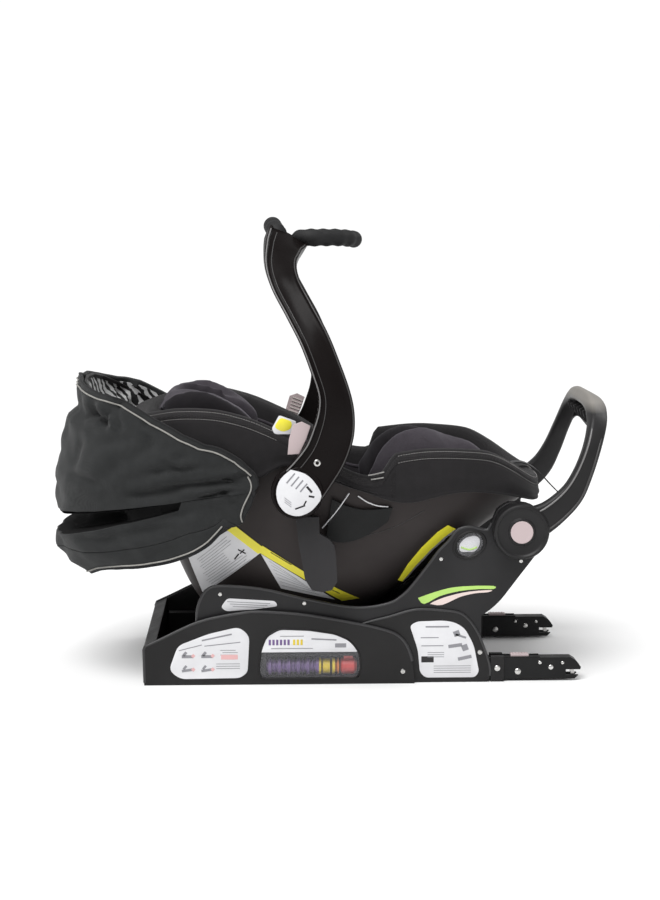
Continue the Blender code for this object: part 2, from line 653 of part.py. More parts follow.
def build_pads(body, colours):
    """The head support, a horseshoe that lies on the back, its wings domed."""
    half = [(HEAD_WING_END, 84), (HEAD_WING_END - 4, 98), (-150, 106), (-200, 105), (-238, 92), (-254, 60),
            (-258, 0)]
    inner = [(-226, 0), (-222, 30), (-206, 52), (-170, 62), (-150, 66), (HEAD_WING_END - 4, 72)]
    near = spline(half, 2)
    back = spline(inner, 2)
    outline = [(x, -y) for x, y in near] + [(x, y) for x, y in reversed(near[:-1])]
    outline += [(x, y) for x, y in reversed(back)] + [(x, -y) for x, y in back[1:]]
    centre_y = 82.0
    loops = []
    for level, shrink in ((0.0, 7.0), (0.25, 1.0), (0.7, 0.0), (1.0, 7.0)):
        row = []
        for x, y in outline:
            low, high = head_pad_heights(x)
            middle = math.copysign(min(abs(y), centre_y), y)
            toward = Vector((-240 - x if x < -215 else 0, middle - y))
            if toward.length > 0:
                toward = toward.normalized() * min(shrink, toward.length * 0.4)
            row.append(Vector((x + toward.x, y + toward.y, low + (high - low) * level)))
        loops.append(row)
    pad = loft(loops)
    bmesh.ops.triangulate(pad, faces=[f for f in pad.faces if len(f.verts) > 4])
    add("head_support", pad, colours["violet"], body)


def side_panel(side):
    """The curved trim panel on the shell's side, below the cover's hem and behind the handle's hub."""
    loops = []
    for k in range(7):
        c = (PANEL_START + (PANEL_END - PANEL_START) * k / 6 - RIM_CENTRE_X) / RIM_HALF_X
        a = side * math.acos(math.copysign(abs(c) ** 1.8, c))
        low = PANEL_LOW + 0.16 * (k / 6) ** 2
        heights = [low + (PANEL_HIGH - low) * m / 5 for m in range(6)]
        loops.append([bowl_point(a, h, -3.6) for h in heights]
                     + [bowl_point(a, h, -GAP) for h in reversed(heights)])
    return loft(loops)


def ribbon(points, width, thickness):
    """A strap through points, wide across Y."""
    return sweep(points, [width] * len(points), [thickness] * len(points), lambda tangent: Vector((0, 1, 0)))


def build_harness(body, colours):
    """Two shoulder straps, a chest clip, the buckle with its button, the crotch strap and the adjuster."""
    for name, side in SIDES:
        start, chest, waist = back_point(118, 4), back_point(190, 14), back_point(262, 20)
        path = [(p.x, side * y, p.z) for p, y in ((start, 38), (chest, 36), (waist, 34))]
        path.append((16, side * 24, 158))
        add("shoulder_strap_" + name, ribbon(spline(path, 3), 28, 2), colours["strap"], body)
    clip = back_point(215, 29)
    add("chest_clip", box(clip.x - 14, clip.x + 14, -52, 52, clip.z, clip.z + 8), colours["grey"], body)
    add("buckle", cut(box(14, 62, -22, 22, 162, 180), box(27, 49, -10, 10, 174, 190)), colours["grey"], body)
    button = empty("buckle_button_body", (38, 0, 180), body)
    add("buckle_button", box(28, 48, -9, 9, 177.6, 184.5), colours["red"], button)
    add("crotch_strap", ribbon([(38, 0, 161), (40, 0, 150), (42, 0, 138), (44, 0, 130)], 30, 2),
        colours["strap"], body)


def build_adjuster(body, colours):
    """The harness adjuster at the foot end, its press button and the pull strap that runs out over the rim."""
    add("harness_adjuster", cut(box(222, 250, -20, 20, 264, 279), box(227, 245, -11, 11, 271.5, 290)),
        colours["grey"], body)
    button = empty("adjuster_button_body", (236, 0, 280), body)
    add("adjuster_button", box(228, 244, -10, 10, 276.5, 282), colours["mauve"], button)
    path = [(251, 0, 274), (268, 0, 297), (288, 0, 301), (306, 0, 293), (320, 0, 281), (333, 0, 267), (346, 0, 254)]
    add("adjuster_strap", ribbon(spline(path, 2), 22, 2), colours["strap"], body)


def build_handle(body, colours):
    """Two arms that turn on pins in the shell, and the two rubber grips that join them at the top."""
    path = spline(HANDLE_ARM, 2)
    for name, side in SIDES:
        points = [(x, side * y, z) for x, y, z, _ in path]
        widths = [w for *_, w in path]
        thick = [15 + 7 * smooth_step(560, 630, z) for _, _, z in points]
        arm = sweep(points, widths, thick, lambda tangent: Vector((tangent.z, 0, -tangent.x)))
        arm = join(arm, disc(HANDLE_PIVOT, 37, side, HANDLE_INNER, HANDLE_OUTER, 32))
        limit = side * HANDLE_END_Y
        arm = cut(arm, box(-200, 200, min(limit, -side * 200), max(limit, -side * 200), 500, 800),
                  disc(HANDLE_PIVOT, HANDLE_PIN_RADIUS + GAP, side, 200, 216, 16))
        add("handle_arm_" + name, arm, colours["gloss"], body)
        add("handle_pin_" + name, disc(HANDLE_PIVOT, HANDLE_PIN_RADIUS, side, 188.5, 215.5, 16),
            colours["steel"], body)
        tag = [(-66, 340), (-64, 362), (-58, 382), (-46, 386), (-34, 380), (-40, 362), (-50, 341)]
        button = empty("handle_button_body_" + name, (-50, side * 203, 362), body)
        add("handle_button_" + name, side_prism(tag, side, 200.4, HANDLE_INNER - GAP), colours["mauve"], button)
    reach = HANDLE_END_Y - GAP
    for name, half, radius in (("rear_grip", REAR_GRIP, 13.5), ("front_grip", FRONT_GRIP, 12.5)):
        path = spline(mirrored_path([tuple(p) for p in half]), 3)
        grip = cut(tube(path, radius, 12), box(-200, 200, reach, 200, 500, 800),
                   box(-200, 200, -200, -reach, 500, 800))
        add(name, grip, colours["rubber"], body)


def build_canopy(carrier, mid, front, colours):
    """A rear panel fixed to the carrier, and a middle and a front panel that turn, each with its bow."""
    add("canopy_rear_panel", canopy_panel(CANOPY_REAR, 4, 0.03, CANOPY_HEM), colours["canopy"], carrier)
    add("canopy_mid_panel", canopy_panel(CANOPY_MID, 3, 0.03), colours["canopy"], mid)
    add("canopy_mid_bow", canopy_bow(MID_BOW, 189.9, 191.6), colours["black"], mid)
    add("canopy_front_panel", canopy_panel(CANOPY_FRONT, 7, 0.0), colours["canopy"], front)
    add("canopy_front_bow", canopy_bow(FRONT_BOW, 187.6, 189.5), colours["black"], front)


def build_carrier_release(body, colours):
    """The lever at the head end of the shell that frees the carrier from the carriage."""
    lever = empty("carrier_release_body", (-232, 0, 200), body)
    grip = cut(box(-262, -226, -46, 46, 196, 214), bowl_solid(-GAP))
    add("carrier_release_lever", grip, colours["grey"], lever)


def main():
    """Build every piece on the empty of its body."""
    clear_scene()
    colours = {
        "black": material("black_plastic", (0.022, 0.022, 0.023), 0.42),
        "shell": material("shell_plastic", (0.03, 0.028, 0.029), 0.35),
        "gloss": material("gloss_plastic", (0.012, 0.012, 0.013), 0.22),
        "grey": material("charcoal_plastic", (0.06, 0.06, 0.063), 0.5),
        "rubber": material("grip_rubber", (0.018, 0.018, 0.019), 0.7),
        "mauve": material("mauve_plastic", (0.62, 0.52, 0.54), 0.45),
        "clear": material("clear_plastic", (0.75, 0.77, 0.8), 0.1),
        "purple": material("purple_plastic", (0.18, 0.11, 0.3), 0.4),
        "red": material("red_plastic", (0.6, 0.06, 0.05), 0.4),
        "steel": material("steel", (0.6, 0.6, 0.6), 0.35, 1.0),
        "latch": material("black_metal", (0.02, 0.02, 0.02), 0.35, 0.6),
        "fabric": material("cover_fabric", (0.02, 0.019, 0.021), 0.9),
        "violet": material("insert_fabric", (0.045, 0.04, 0.055), 0.95),
        "canopy": material("canopy_fabric", (0.035, 0.038, 0.038), 0.85),
        "strap": material("webbing", (0.03, 0.03, 0.03), 0.85),
    }
    root = empty("base_body")
    carriage = empty("carriage_body", (0, 0, CARRIAGE_BOTTOM), root)
    bar = empty("bar_body", (BAR_PIVOT[0], 0, BAR_PIVOT[1]), carriage)
    carrier = empty("carrier_body", (0, 0, FLOOR_Z), carriage)
    handle = empty("handle_body", (HANDLE_PIVOT[0], 0, HANDLE_PIVOT[1]), carrier)
    mid = empty("canopy_mid_body", (CANOPY_PIVOT[0], 0, CANOPY_PIVOT[1]), carrier)
    front = empty("canopy_front_body", (CANOPY_PIVOT[0], 0, CANOPY_PIVOT[1]), mid)
    build_base(root, colours)
    build_struts(root, carriage, colours)
    build_carriage(carriage, colours)
    build_stabiliser_bar(bar, colours)
    for name, side in SIDES:
        build_latch(name, side, root, colours)
    build_carrier(carrier, colours)
    build_handle(handle, colours)
    build_canopy(carrier, mid, front, colours)
    build_carrier_release(carrier, colours)
    bpy.context.view_layer.update()


main()
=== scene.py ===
"""Looks of an infant car seat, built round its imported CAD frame.

All lengths below are millimetres and all angles degrees, unless a line says otherwise; put() turns them into metres.
+X is the foot end, +Y the far side, +Z up. The shell, rim, liner and canopy curves repeat those of the CAD source.
"""
import json
import math

import bmesh
import bpy
import numpy as np
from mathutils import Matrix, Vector, noise
from mathutils.bvhtree import BVHTree

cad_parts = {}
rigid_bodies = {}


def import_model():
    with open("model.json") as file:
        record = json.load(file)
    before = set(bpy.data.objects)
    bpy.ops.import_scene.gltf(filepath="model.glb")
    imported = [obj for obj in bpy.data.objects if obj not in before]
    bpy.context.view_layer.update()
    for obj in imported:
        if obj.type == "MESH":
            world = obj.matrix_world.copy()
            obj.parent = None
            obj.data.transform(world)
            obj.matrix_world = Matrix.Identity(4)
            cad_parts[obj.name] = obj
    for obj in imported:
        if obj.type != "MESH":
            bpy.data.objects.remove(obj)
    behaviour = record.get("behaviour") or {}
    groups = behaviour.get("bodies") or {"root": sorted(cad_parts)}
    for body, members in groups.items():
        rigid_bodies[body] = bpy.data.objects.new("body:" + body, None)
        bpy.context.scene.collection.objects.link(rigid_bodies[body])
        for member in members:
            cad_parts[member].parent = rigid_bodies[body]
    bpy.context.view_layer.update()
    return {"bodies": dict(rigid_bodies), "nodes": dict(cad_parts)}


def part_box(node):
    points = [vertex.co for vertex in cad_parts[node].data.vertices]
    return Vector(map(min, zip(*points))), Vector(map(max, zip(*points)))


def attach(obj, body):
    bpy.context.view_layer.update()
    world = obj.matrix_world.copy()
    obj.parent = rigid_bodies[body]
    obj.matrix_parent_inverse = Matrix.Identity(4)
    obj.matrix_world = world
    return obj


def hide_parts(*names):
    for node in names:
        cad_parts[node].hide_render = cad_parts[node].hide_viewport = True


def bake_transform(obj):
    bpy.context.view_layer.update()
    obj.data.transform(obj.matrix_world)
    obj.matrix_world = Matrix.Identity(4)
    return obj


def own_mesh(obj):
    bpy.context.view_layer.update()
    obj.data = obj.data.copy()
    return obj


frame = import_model()
NODES = frame["nodes"]
for item in list(bpy.data.objects):
    if item not in list(NODES.values()) and item not in list(frame["bodies"].values()):
        bpy.data.objects.remove(item, do_unlink=True)

MM = 0.001
SIDES = (("near", -1), ("far", 1))

# Curves shared with the CAD source
RIM_CENTRE_X = 6.0
RIM_HALF_X = 296.0
RIM_HALF_Y_HEAD = 177.0
RIM_HALF_Y_FOOT = 165.0
RIM_POWER = 3.6
RIM_LINE = [(-291, 372), (-262, 379), (-230, 387), (-195, 389), (-160, 387), (-118, 376), (-69, 354), (-42, 340),
            (0, 313), (30, 296), (54, 291), (77, 293), (129, 300), (165, 300), (208, 297), (236, 292), (272, 283),
            (303, 270)]
HEM_LINE = [(-291, 340), (-200, 318), (-118, 297), (-100, 303), (-80, 317), (-66, 324), (-20, 306), (20, 289),
            (44, 282), (72, 270), (100, 264), (129, 268), (157, 277), (193, 280), (228, 276), (257, 270), (278, 264),
            (303, 256)]
FLOOR_CENTRE_X = -60.0
FLOOR_HALF_X = 115.0
FLOOR_HALF_Y = 62.0
FLOOR_Z = 84.0
FLOOR_POWER = 3.0
WALL = 4.0
LINER_CENTRE_X = 8.0
LINER_HALF_X = 58.0
LINER_HALF_Y = 92.0
LINER_Z = 128.0
LINER_THICKNESS = 20.0
LINER_POWER = 2.6
PANEL_START = 2.0
PANEL_END = 92.0
HANDLE_PIVOT = Vector((-53.0, 0, 288.0))
CANOPY_PIVOT = Vector((-122.0, 0, 285.0))
CANOPY_HALF = 192.0
CANOPY_RADIUS = 284.0
CLOTH_EASE_Y = 1.5
CLOTH_EASE_R = 1.4
BAR_PIVOT = Vector((268.0, 0, 223.0))
STRUT_Y = 142.0
STRUT_Z = 23.0
CONNECTOR_Y = 140.0
TRAY_FACE = 160.0
HOUSING_FACE = 154.0
CRADLE_FACE = 150.0
HUB_FACE = 221.0


# ---------------------------------------------------------------- materials

def node(tree, kind, inputs=None, **settings):
    """One shader node, with its settings and its inputs linked or set."""
    made = tree.nodes.new(kind)
    for key, value in settings.items():
        setattr(made, key, value)
    for key, value in (inputs or {}).items():
        if isinstance(value, bpy.types.NodeSocket):
            tree.links.new(value, made.inputs[key])
        else:
            made.inputs[key].default_value = value
    return made


def start(name, roughness, **sockets):
    """A new material with its Principled shader's own numbers set."""
    made = bpy.data.materials.new(name)
    made.use_nodes = True
    tree = made.node_tree
    shader = tree.nodes["Principled BSDF"]
    shader.inputs["Roughness"].default_value = roughness
    for key, value in sockets.items():
        shader.inputs[key.replace("_", " ")].default_value = value
    place = node(tree, "ShaderNodeTexCoord").outputs["Object"]
    return made, tree, shader, place


def math_node(tree, operation, a, b=0.0):
    """The output of one Math node."""
    return node(tree, "ShaderNodeMath", {0: a, 1: b}, operation=operation).outputs[0]


def mix(tree, share, a, b):
    """A colour mix of two colours or sockets."""
    made = node(tree, "ShaderNodeMix", {"Factor": share}, data_type="RGBA")
    for socket, value in ((made.inputs[6], a), (made.inputs[7], b)):
        if isinstance(value, bpy.types.NodeSocket):
            tree.links.new(value, socket)
        else:
            socket.default_value = (*value, 1.0)
    return made.outputs[2]


def times(colour, factor, lift=0.0):
    """A colour made lighter or darker."""
    return tuple(min(c * factor + lift, 1.0) for c in colour)


def ramp(tree, value, low, high, out_low=0.0, out_high=1.0):
    """A clamped straight map of a number."""
    return node(tree, "ShaderNodeMapRange", {0: value, 1: low, 2: high, 3: out_low, 4: out_high}).outputs[0]


def noise_at(tree, place, scale, detail=3.0, roughness=0.5, distortion=0.0):
    """The factor of a Noise texture."""
    return node(tree, "ShaderNodeTexNoise", {"Vector": place, "Scale": scale, "Detail": detail,
                                             "Roughness": roughness, "Distortion": distortion}).outputs["Fac"]


def paint(tree, shader, colour, roughness=None):
    """Feed a colour, and a roughness where one is given, to the shader."""
    tree.links.new(colour, shader.inputs["Base Color"])
    if roughness is not None:
        tree.links.new(roughness, shader.inputs["Roughness"])


def bump(tree, shader, height, strength, distance, normal=None):
    """Feed a height to the shader's normal."""
    inputs = {"Height": height, "Strength": strength, "Distance": distance}
    if normal is not None:
        inputs["Normal"] = normal
    tree.links.new(node(tree, "ShaderNodeBump", inputs).outputs[0], shader.inputs["Normal"])


def plastic(name, colour, roughness, grain=0.25, grain_scale=900.0, vary=0.25, lightening=0.5, radius=0.0012,
            top=None, **sockets):
    """Moulded plastic: soft colour change, fine grain, uneven gloss, and edges lightened a little, partly as scuffing
    and partly as a painted highlight.
    """
    made, tree, shader, place = start(name, roughness, **sockets)
    cloud = noise_at(tree, place, 9.0, 4.0)
    dark = times(colour, 1 - vary)
    light = times(colour, 1 + vary, 0.002)
    base = mix(tree, ramp(tree, cloud, 0.3, 0.7), dark, light)
    if top:
        height = node(tree, "ShaderNodeSeparateXYZ", {0: place}).outputs[2]
        base = mix(tree, ramp(tree, height, top[0], top[1]), base, top[2])
    # Edges are painted lighter through a mask from the Bevel node, broken up by scuffs: partly scuffing, partly a
    # painted highlight along the rounded edges.
    rounded = node(tree, "ShaderNodeBevel", {"Radius": radius}, samples=4).outputs[0]
    flat = node(tree, "ShaderNodeNewGeometry").outputs["Normal"]
    turn = node(tree, "ShaderNodeVectorMath", {0: rounded, 1: flat}, operation="DOT_PRODUCT").outputs["Value"]
    edge = ramp(tree, turn, 0.995, 0.75, 0.0, lightening)
    scuffs = noise_at(tree, place, 140.0, 5.0, 0.65)
    scuff_and_highlight_mask = math_node(tree, "MULTIPLY", edge, ramp(tree, scuffs, 0.35, 0.6, 0.35, 1.0))
    pale = times(colour, 2.2, 0.03)
    scuffed_and_highlit = mix(tree, scuff_and_highlight_mask, base, pale)
    patchy = ramp(tree, noise_at(tree, place, 34.0, 5.0, 0.6), 0.3, 0.7, roughness - 0.05, roughness + 0.07)
    paint(tree, shader, scuffed_and_highlit, patchy)
    bump(tree, shader, noise_at(tree, place, grain_scale, 2.0, 0.6), grain, 0.0004, rounded)
    return made


def weave_height(tree, place, period):
    """A plain weave's height from three crossed sine waves, so that it shows on a face of any direction."""
    split = node(tree, "ShaderNodeSeparateXYZ", {0: place})
    waves = [math_node(tree, "SINE", math_node(tree, "MULTIPLY", split.outputs[k], 2 * math.pi / period))
             for k in range(3)]
    pairs = [math_node(tree, "MULTIPLY", waves[a], waves[b]) for a, b in ((0, 2), (0, 1), (1, 2))]
    return math_node(tree, "ADD", math_node(tree, "ADD", pairs[0], pairs[1]), pairs[2])


def cloth(name, colour, period, strength, vary, roughness, sheen, slub=90.0):
    """Woven cloth: threads, slubs, uneven fading and a soft sheen."""
    made, tree, shader, place = start(name, roughness, Sheen_Weight=sheen, Sheen_Roughness=0.5,
                                      Specular_IOR_Level=0.25)
    threads = weave_height(tree, place, period)
    fade = noise_at(tree, place, 7.0, 5.0, 0.6)
    slubs = noise_at(tree, place, slub, 4.0, 0.7)
    dark = times(colour, 1 - vary)
    light = times(colour, 1 + vary)
    base = mix(tree, ramp(tree, fade, 0.3, 0.7), dark, light)
    # The weave's low points are painted darker: painted shade between the threads.
    painted_gap_shade = ramp(tree, threads, -1.2, 0.6, 0.55, 1.0)
    toned = mix(tree, ramp(tree, slubs, 0.35, 0.75, 0.0, 0.35), base, times(colour, 1.9))
    shade = node(tree, "ShaderNodeVectorMath", {0: toned}, operation="SCALE")
    tree.links.new(painted_gap_shade, shade.inputs["Scale"])
    paint(tree, shader, shade.outputs[0])
    height = math_node(tree, "ADD", math_node(tree, "MULTIPLY", threads, 0.5), math_node(tree, "MULTIPLY", slubs, 0.8))
    bump(tree, shader, height, strength, 0.0005)
    return made


def plush(name, colour, sheen):
    """Brushed pile: a short fuzzy nap with soft light and dark strokes."""
    made, tree, shader, place = start(name, 0.95, Sheen_Weight=sheen, Sheen_Roughness=0.45, Specular_IOR_Level=0.2)
    shader.inputs["Sheen Tint"].default_value = (0.85, 0.82, 0.9, 1.0)
    strokes = noise_at(tree, place, 26.0, 5.0, 0.65, 0.6)
    nap = noise_at(tree, place, 900.0, 3.0, 0.7)
    base = mix(tree, ramp(tree, strokes, 0.3, 0.7), times(colour, 0.7), times(colour, 1.3))
    tips = mix(tree, ramp(tree, nap, 0.4, 0.75, 0.0, 0.5), base, times(colour, 2.1))
    paint(tree, shader, tips)
    height = math_node(tree, "ADD", nap, math_node(tree, "MULTIPLY", strokes, 0.6))
    bump(tree, shader, height, 0.55, 0.0006)
    return made


def striped(name):
    """The canopy's lining: uneven black and white stripes printed on a woven ground."""
    made, tree, shader, place = start(name, 0.8, Sheen_Weight=0.2, Specular_IOR_Level=0.25)
    bands = node(tree, "ShaderNodeTexWave", {"Vector": place, "Scale": 34.0, "Distortion": 6.0, "Detail": 2.0,
                                             "Detail Scale": 1.3, "Detail Roughness": 0.45},
                 wave_type="BANDS", bands_direction="DIAGONAL").outputs["Fac"]
    ink = ramp(tree, bands, 0.49, 0.52)
    shade = noise_at(tree, place, 30.0, 4.0)
    black = mix(tree, shade, (0.012, 0.012, 0.013), (0.03, 0.03, 0.03))
    white = mix(tree, shade, (0.8, 0.8, 0.8), (0.93, 0.93, 0.93))
    paint(tree, shader, mix(tree, ink, black, white))
    bump(tree, shader, weave_height(tree, place, 0.0011), 0.4, 0.0004)
    return made


def metal(name, colour, roughness, brushed=True):
    """Turned or plated metal with fine drawn lines and a little staining."""
    made, tree, shader, place = start(name, roughness, Metallic=1.0)
    stretch = node(tree, "ShaderNodeMapping", {"Vector": place, "Scale": (40.0, 40.0, 1400.0) if brushed else
                                               (300.0, 300.0, 300.0)}).outputs[0]
    lines = noise_at(tree, stretch, 1.0, 4.0, 0.6)
    stain = noise_at(tree, place, 60.0, 5.0, 0.6)
    base = mix(tree, ramp(tree, stain, 0.35, 0.7), times(colour, 0.72), colour)
    paint(tree, shader, base, ramp(tree, lines, 0.3, 0.7, roughness - 0.08, roughness + 0.12))
    bump(tree, shader, lines, 0.15, 0.0002)
    return made


def clear(name, tint, alpha, roughness=0.08):
    """Clear moulded plastic, see-through by its alpha, with faint haze and scratches."""
    made, tree, shader, place = start(name, roughness, Alpha=alpha, Coat_Weight=0.5, Coat_Roughness=0.05)
    haze = noise_at(tree, place, 22.0, 5.0, 0.6)
    paint(tree, shader, mix(tree, haze, times(tint, 0.8), tint),
          ramp(tree, haze, 0.3, 0.7, roughness, roughness + 0.14))
    stretch = node(tree, "ShaderNodeMapping", {"Vector": place, "Scale": (30.0, 30.0, 900.0)}).outputs[0]
    bump(tree, shader, noise_at(tree, stretch, 1.0, 3.0), 0.08, 0.0002)
    return made


def printed(name, colour, **sockets):
    """A coated paper or vinyl label: slight mottling, fibre grain and soft gloss."""
    roughness = 0.4
    made, tree, shader, place = start(name, roughness, Coat_Weight=0.15, Coat_Roughness=0.3, **sockets)
    mottle = noise_at(tree, place, 45.0, 5.0, 0.6)
    base = mix(tree, ramp(tree, mottle, 0.3, 0.7), times(colour, 0.93), colour)
    paint(tree, shader, base, ramp(tree, mottle, 0.3, 0.7, roughness - 0.05, roughness + 0.1))
    bump(tree, shader, noise_at(tree, place, 500.0, 3.0), 0.12, 0.0002)
    return made


def webbing(name, colour):
    """Seat-belt webbing: lengthwise ribs and fine cross threads, laid out by the strap's own UV in metres."""
    made, tree, shader, place = start(name, 0.62, Sheen_Weight=0.2, Specular_IOR_Level=0.35)
    chart = node(tree, "ShaderNodeUVMap", uv_map="cloth").outputs[0]
    split = node(tree, "ShaderNodeSeparateXYZ", {0: chart})
    across = math_node(tree, "SINE", math_node(tree, "MULTIPLY", split.outputs[0], 2 * math.pi / 0.0026))
    slant = math_node(tree, "ADD", split.outputs[1], math_node(tree, "MULTIPLY", across, 0.0006))
    along = math_node(tree, "SINE", math_node(tree, "MULTIPLY", slant, 2 * math.pi / 0.0018))
    height = math_node(tree, "ADD", across, math_node(tree, "MULTIPLY", along, 0.6))
    lightening = noise_at(tree, place, 40.0, 5.0, 0.6)
    # Colour follows the rib height, lighter on the ribs and darker in the grooves: painted highlight and painted shade.
    base = mix(tree, ramp(tree, height, -1.4, 1.4), times(colour, 0.45), times(colour, 1.5))
    paint(tree, shader, mix(tree, ramp(tree, lightening, 0.45, 0.75, 0.0, 0.3), base, times(colour, 2.2)))
    bump(tree, shader, height, 0.6, 0.0006)
    return made


FINISH = {
    "black": plastic("satin_black", (0.0100, 0.0095, 0.0098), 0.42, 0.25, 1100.0, radius=0.0022,
                     Specular_IOR_Level=0.28),
    "cradle": plastic("cradle_black", (0.0138, 0.0134, 0.0143), 0.4, 0.25, 1100.0, radius=0.0024,
                      Specular_IOR_Level=0.28),
    "shell": plastic("shell_black", (0.0390, 0.0332, 0.0325), 0.42, 0.03, 1400.0, 0.12, lightening=0.3,
                     Specular_IOR_Level=0.12),
    "gloss": plastic("gloss_black", (0.0062, 0.0046, 0.0045), 0.26, 0.02, 1400.0, 0.1, lightening=0.35,
                     Specular_IOR_Level=0.07),
    "charcoal": plastic("charcoal", (0.020, 0.019, 0.0205), 0.5, 0.4, 1300.0, Specular_IOR_Level=0.3),
    "texture": plastic("charcoal_texture", (0.0060, 0.0064, 0.0066), 0.55, 0.8, 900.0, Specular_IOR_Level=0.25),
    "rubber": plastic("grip_rubber", (0.010, 0.010, 0.0105), 0.62, 0.6, 800.0, lightening=0.2, Specular_IOR_Level=0.3),
    "bar": plastic("bar_black", (0.0125, 0.0120, 0.0125), 0.42, 0.25, 1100.0, radius=0.0022,
                   top=(0.387, 0.401, (0.25, 0.235, 0.215)),
                   Specular_IOR_Level=0.28),
    "pale": plastic("pale_ridge", (0.50, 0.45, 0.43), 0.45, 0.1, 900.0),
    "mauve": plastic("mauve_button", (0.52, 0.425, 0.43), 0.42, 0.2, 900.0, 0.06, 0.3),
    "purple": plastic("strut_purple", (0.145, 0.085, 0.235), 0.35, 0.15, 900.0),
    "yellow_disc": plastic("strut_yellow", (0.75, 0.56, 0.03), 0.35, 0.15, 900.0),
    "orange_disc": plastic("strut_orange", (0.65, 0.20, 0.03), 0.35, 0.15, 900.0),
    "red": plastic("button_red", (0.48, 0.045, 0.040), 0.36, 0.15, 900.0),
    "anchor_metal": plastic("coated_black", (0.0042, 0.0042, 0.0045), 0.36, 0.15, 900.0, lightening=0.5,
                            Specular_IOR_Level=0.25),
    "steel": metal("turned_steel", (0.62, 0.61, 0.60), 0.28),
    "rivet": metal("bright_rivet", (0.80, 0.79, 0.77), 0.24, False),
    "clear": clear("clear_window", (0.62, 0.62, 0.66), 0.07, 0.03),
    "canopy": cloth("canopy_cloth", (0.0185, 0.0196, 0.0200), 0.0012, 0.45, 0.18, 0.8, 0.1),
    "band": cloth("canopy_band", (0.0125, 0.0127, 0.0135), 0.0012, 0.5, 0.2, 0.85, 0.1),
    "shadow": cloth("slot_shadow", (0.0012, 0.0012, 0.0013), 0.0012, 0.3, 0.1, 0.95, 0.0),
    # A light grey for the handle's outer beads and the bar's upper rails: a painted highlight along the rounded edges.
    "bright": plastic("bright_bead", (0.17, 0.165, 0.165), 0.3, 0.05, 900.0, 0.1, 0.1),
    # A grey a little lighter than the black plastic, for the lips of tray, housing and cradle: a painted highlight
    # along their rounded edges.
    "lip": plastic("lip_grey", (0.026, 0.0255, 0.027), 0.36, 0.1, 900.0, 0.1, 0.3),
    # A dark grey for the handle's other beads and the bar's lower rails, a fainter painted highlight; the shell panels'
    # seam line uses it too.
    "dim": plastic("dim_bead", (0.045, 0.043, 0.043), 0.35, 0.05, 900.0, 0.1, 0.1),
    "piping": cloth("light_piping", (0.33, 0.32, 0.30), 0.0009, 0.4, 0.12, 0.75, 0.1),
    "cover": cloth("cover_cloth", (0.0128, 0.0115, 0.0126), 0.0010, 0.5, 0.22, 0.85, 0.12),
    "mesh": cloth("cover_mesh", (0.020, 0.0185, 0.0195), 0.0030, 1.0, 0.3, 0.85, 0.1, slub=260.0),
    # One plush in two copies: the lighter one where light falls, the darker one where shade falls (head support sides,
    # far bolster, quilt in the seat): painted light and painted shade.
    "violet": plush("insert_plush", (0.036, 0.0315, 0.0375), 0.22),
    "violet_dark": plush("insert_plush_dark", (0.0115, 0.0102, 0.0118), 0.12),
    "thread": cloth("light_thread", (0.36, 0.35, 0.34), 0.0006, 0.4, 0.1, 0.7, 0.1),
    "lining": striped("striped_lining"),
    "strap": webbing("webbing_black", (0.012, 0.0117, 0.0125)),
    "white": printed("label_white", (0.73, 0.73, 0.75)),
    "yellow": printed("label_yellow", (0.87, 0.78, 0.05)),
    # A yellow label that glows faintly: painted light that keeps the curved label on the shell bright in the carriage's
    # shade.
    "yellow_lit": printed("label_yellow_lit", (0.87, 0.80, 0.05), Emission_Color=(0.9, 0.85, 0.05, 1.0),
                          Emission_Strength=0.22),
    "ink": printed("label_ink", (0.25, 0.25, 0.27)),
    "pink": printed("label_pink", (0.72, 0.42, 0.42)),
    "lime": printed("accent_lime", (0.46, 0.72, 0.16)),
    "blush": printed("accent_blush", (0.80, 0.66, 0.62)),
}

CARRIED = {
    "base_tray": "black", "latch_housing": "black", "latch_bracket": "black", "strut_window": "clear",
    "strut_plunger": "red", "carriage": "cradle", "bar_pin": "steel", "level_window": "clear",
    "bar_button": "mauve", "connector_jaw": "steel", "connector_release": "mauve", "connector": "anchor_metal",
    "belt_guide": "charcoal", "canopy_pin": "charcoal", "chest_clip": "charcoal", "buckle_button": "red",
    "buckle": "charcoal", "harness_adjuster": "charcoal", "adjuster_button": "mauve", "handle_pin": "steel",
    "handle_button": "mauve", "carrier_release_lever": "charcoal", "canopy_front_bow": "black",
    "canopy_mid_bow": "black",
}


def carried_finish(name):
    """The finish of a CAD node that stays, by the longest name that begins its own."""
    found = [key for key in CARRIED if name.startswith(key)]
    return FINISH[CARRIED[max(found, key=len)]] if found else FINISH["black"]


for name, item in NODES.items():
    item.data.materials.clear()
    item.data.materials.append(carried_finish(name))
    item.data.shade_smooth()
    item.data.set_sharp_from_angle(angle=math.radians(32))


# ---------------------------------------------------------------- mesh helpers

def put(name, points, faces, finish, body, sharp=40.0):
    """A mesh in millimetres that rides on a body, or on none."""
    mesh = bpy.data.meshes.new(name)
    mesh.from_pydata([(p[0] * MM, p[1] * MM, p[2] * MM) for p in points], [], faces)
    mesh.materials.append(FINISH[finish])
    mesh.update()
    mesh.shade_smooth()
    mesh.set_sharp_from_angle(angle=math.radians(sharp))
    item = bpy.data.objects.new(name, mesh)
    bpy.context.scene.collection.objects.link(item)
    if body is not None:
        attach(item, body)
    return item


def outward(item):
    """Turn the faces of a closed mesh outwards."""
    mesh = item.data
    volume = 0.0
    points = [v.co for v in mesh.vertices]
    for face in mesh.polygons:
        a = points[face.vertices[0]]
        for k in range(1, len(face.vertices) - 1):
            volume += a.dot(points[face.vertices[k]].cross(points[face.vertices[k + 1]]))
    if volume < 0:
        mesh.flip_normals()
        mesh.update()
    return item


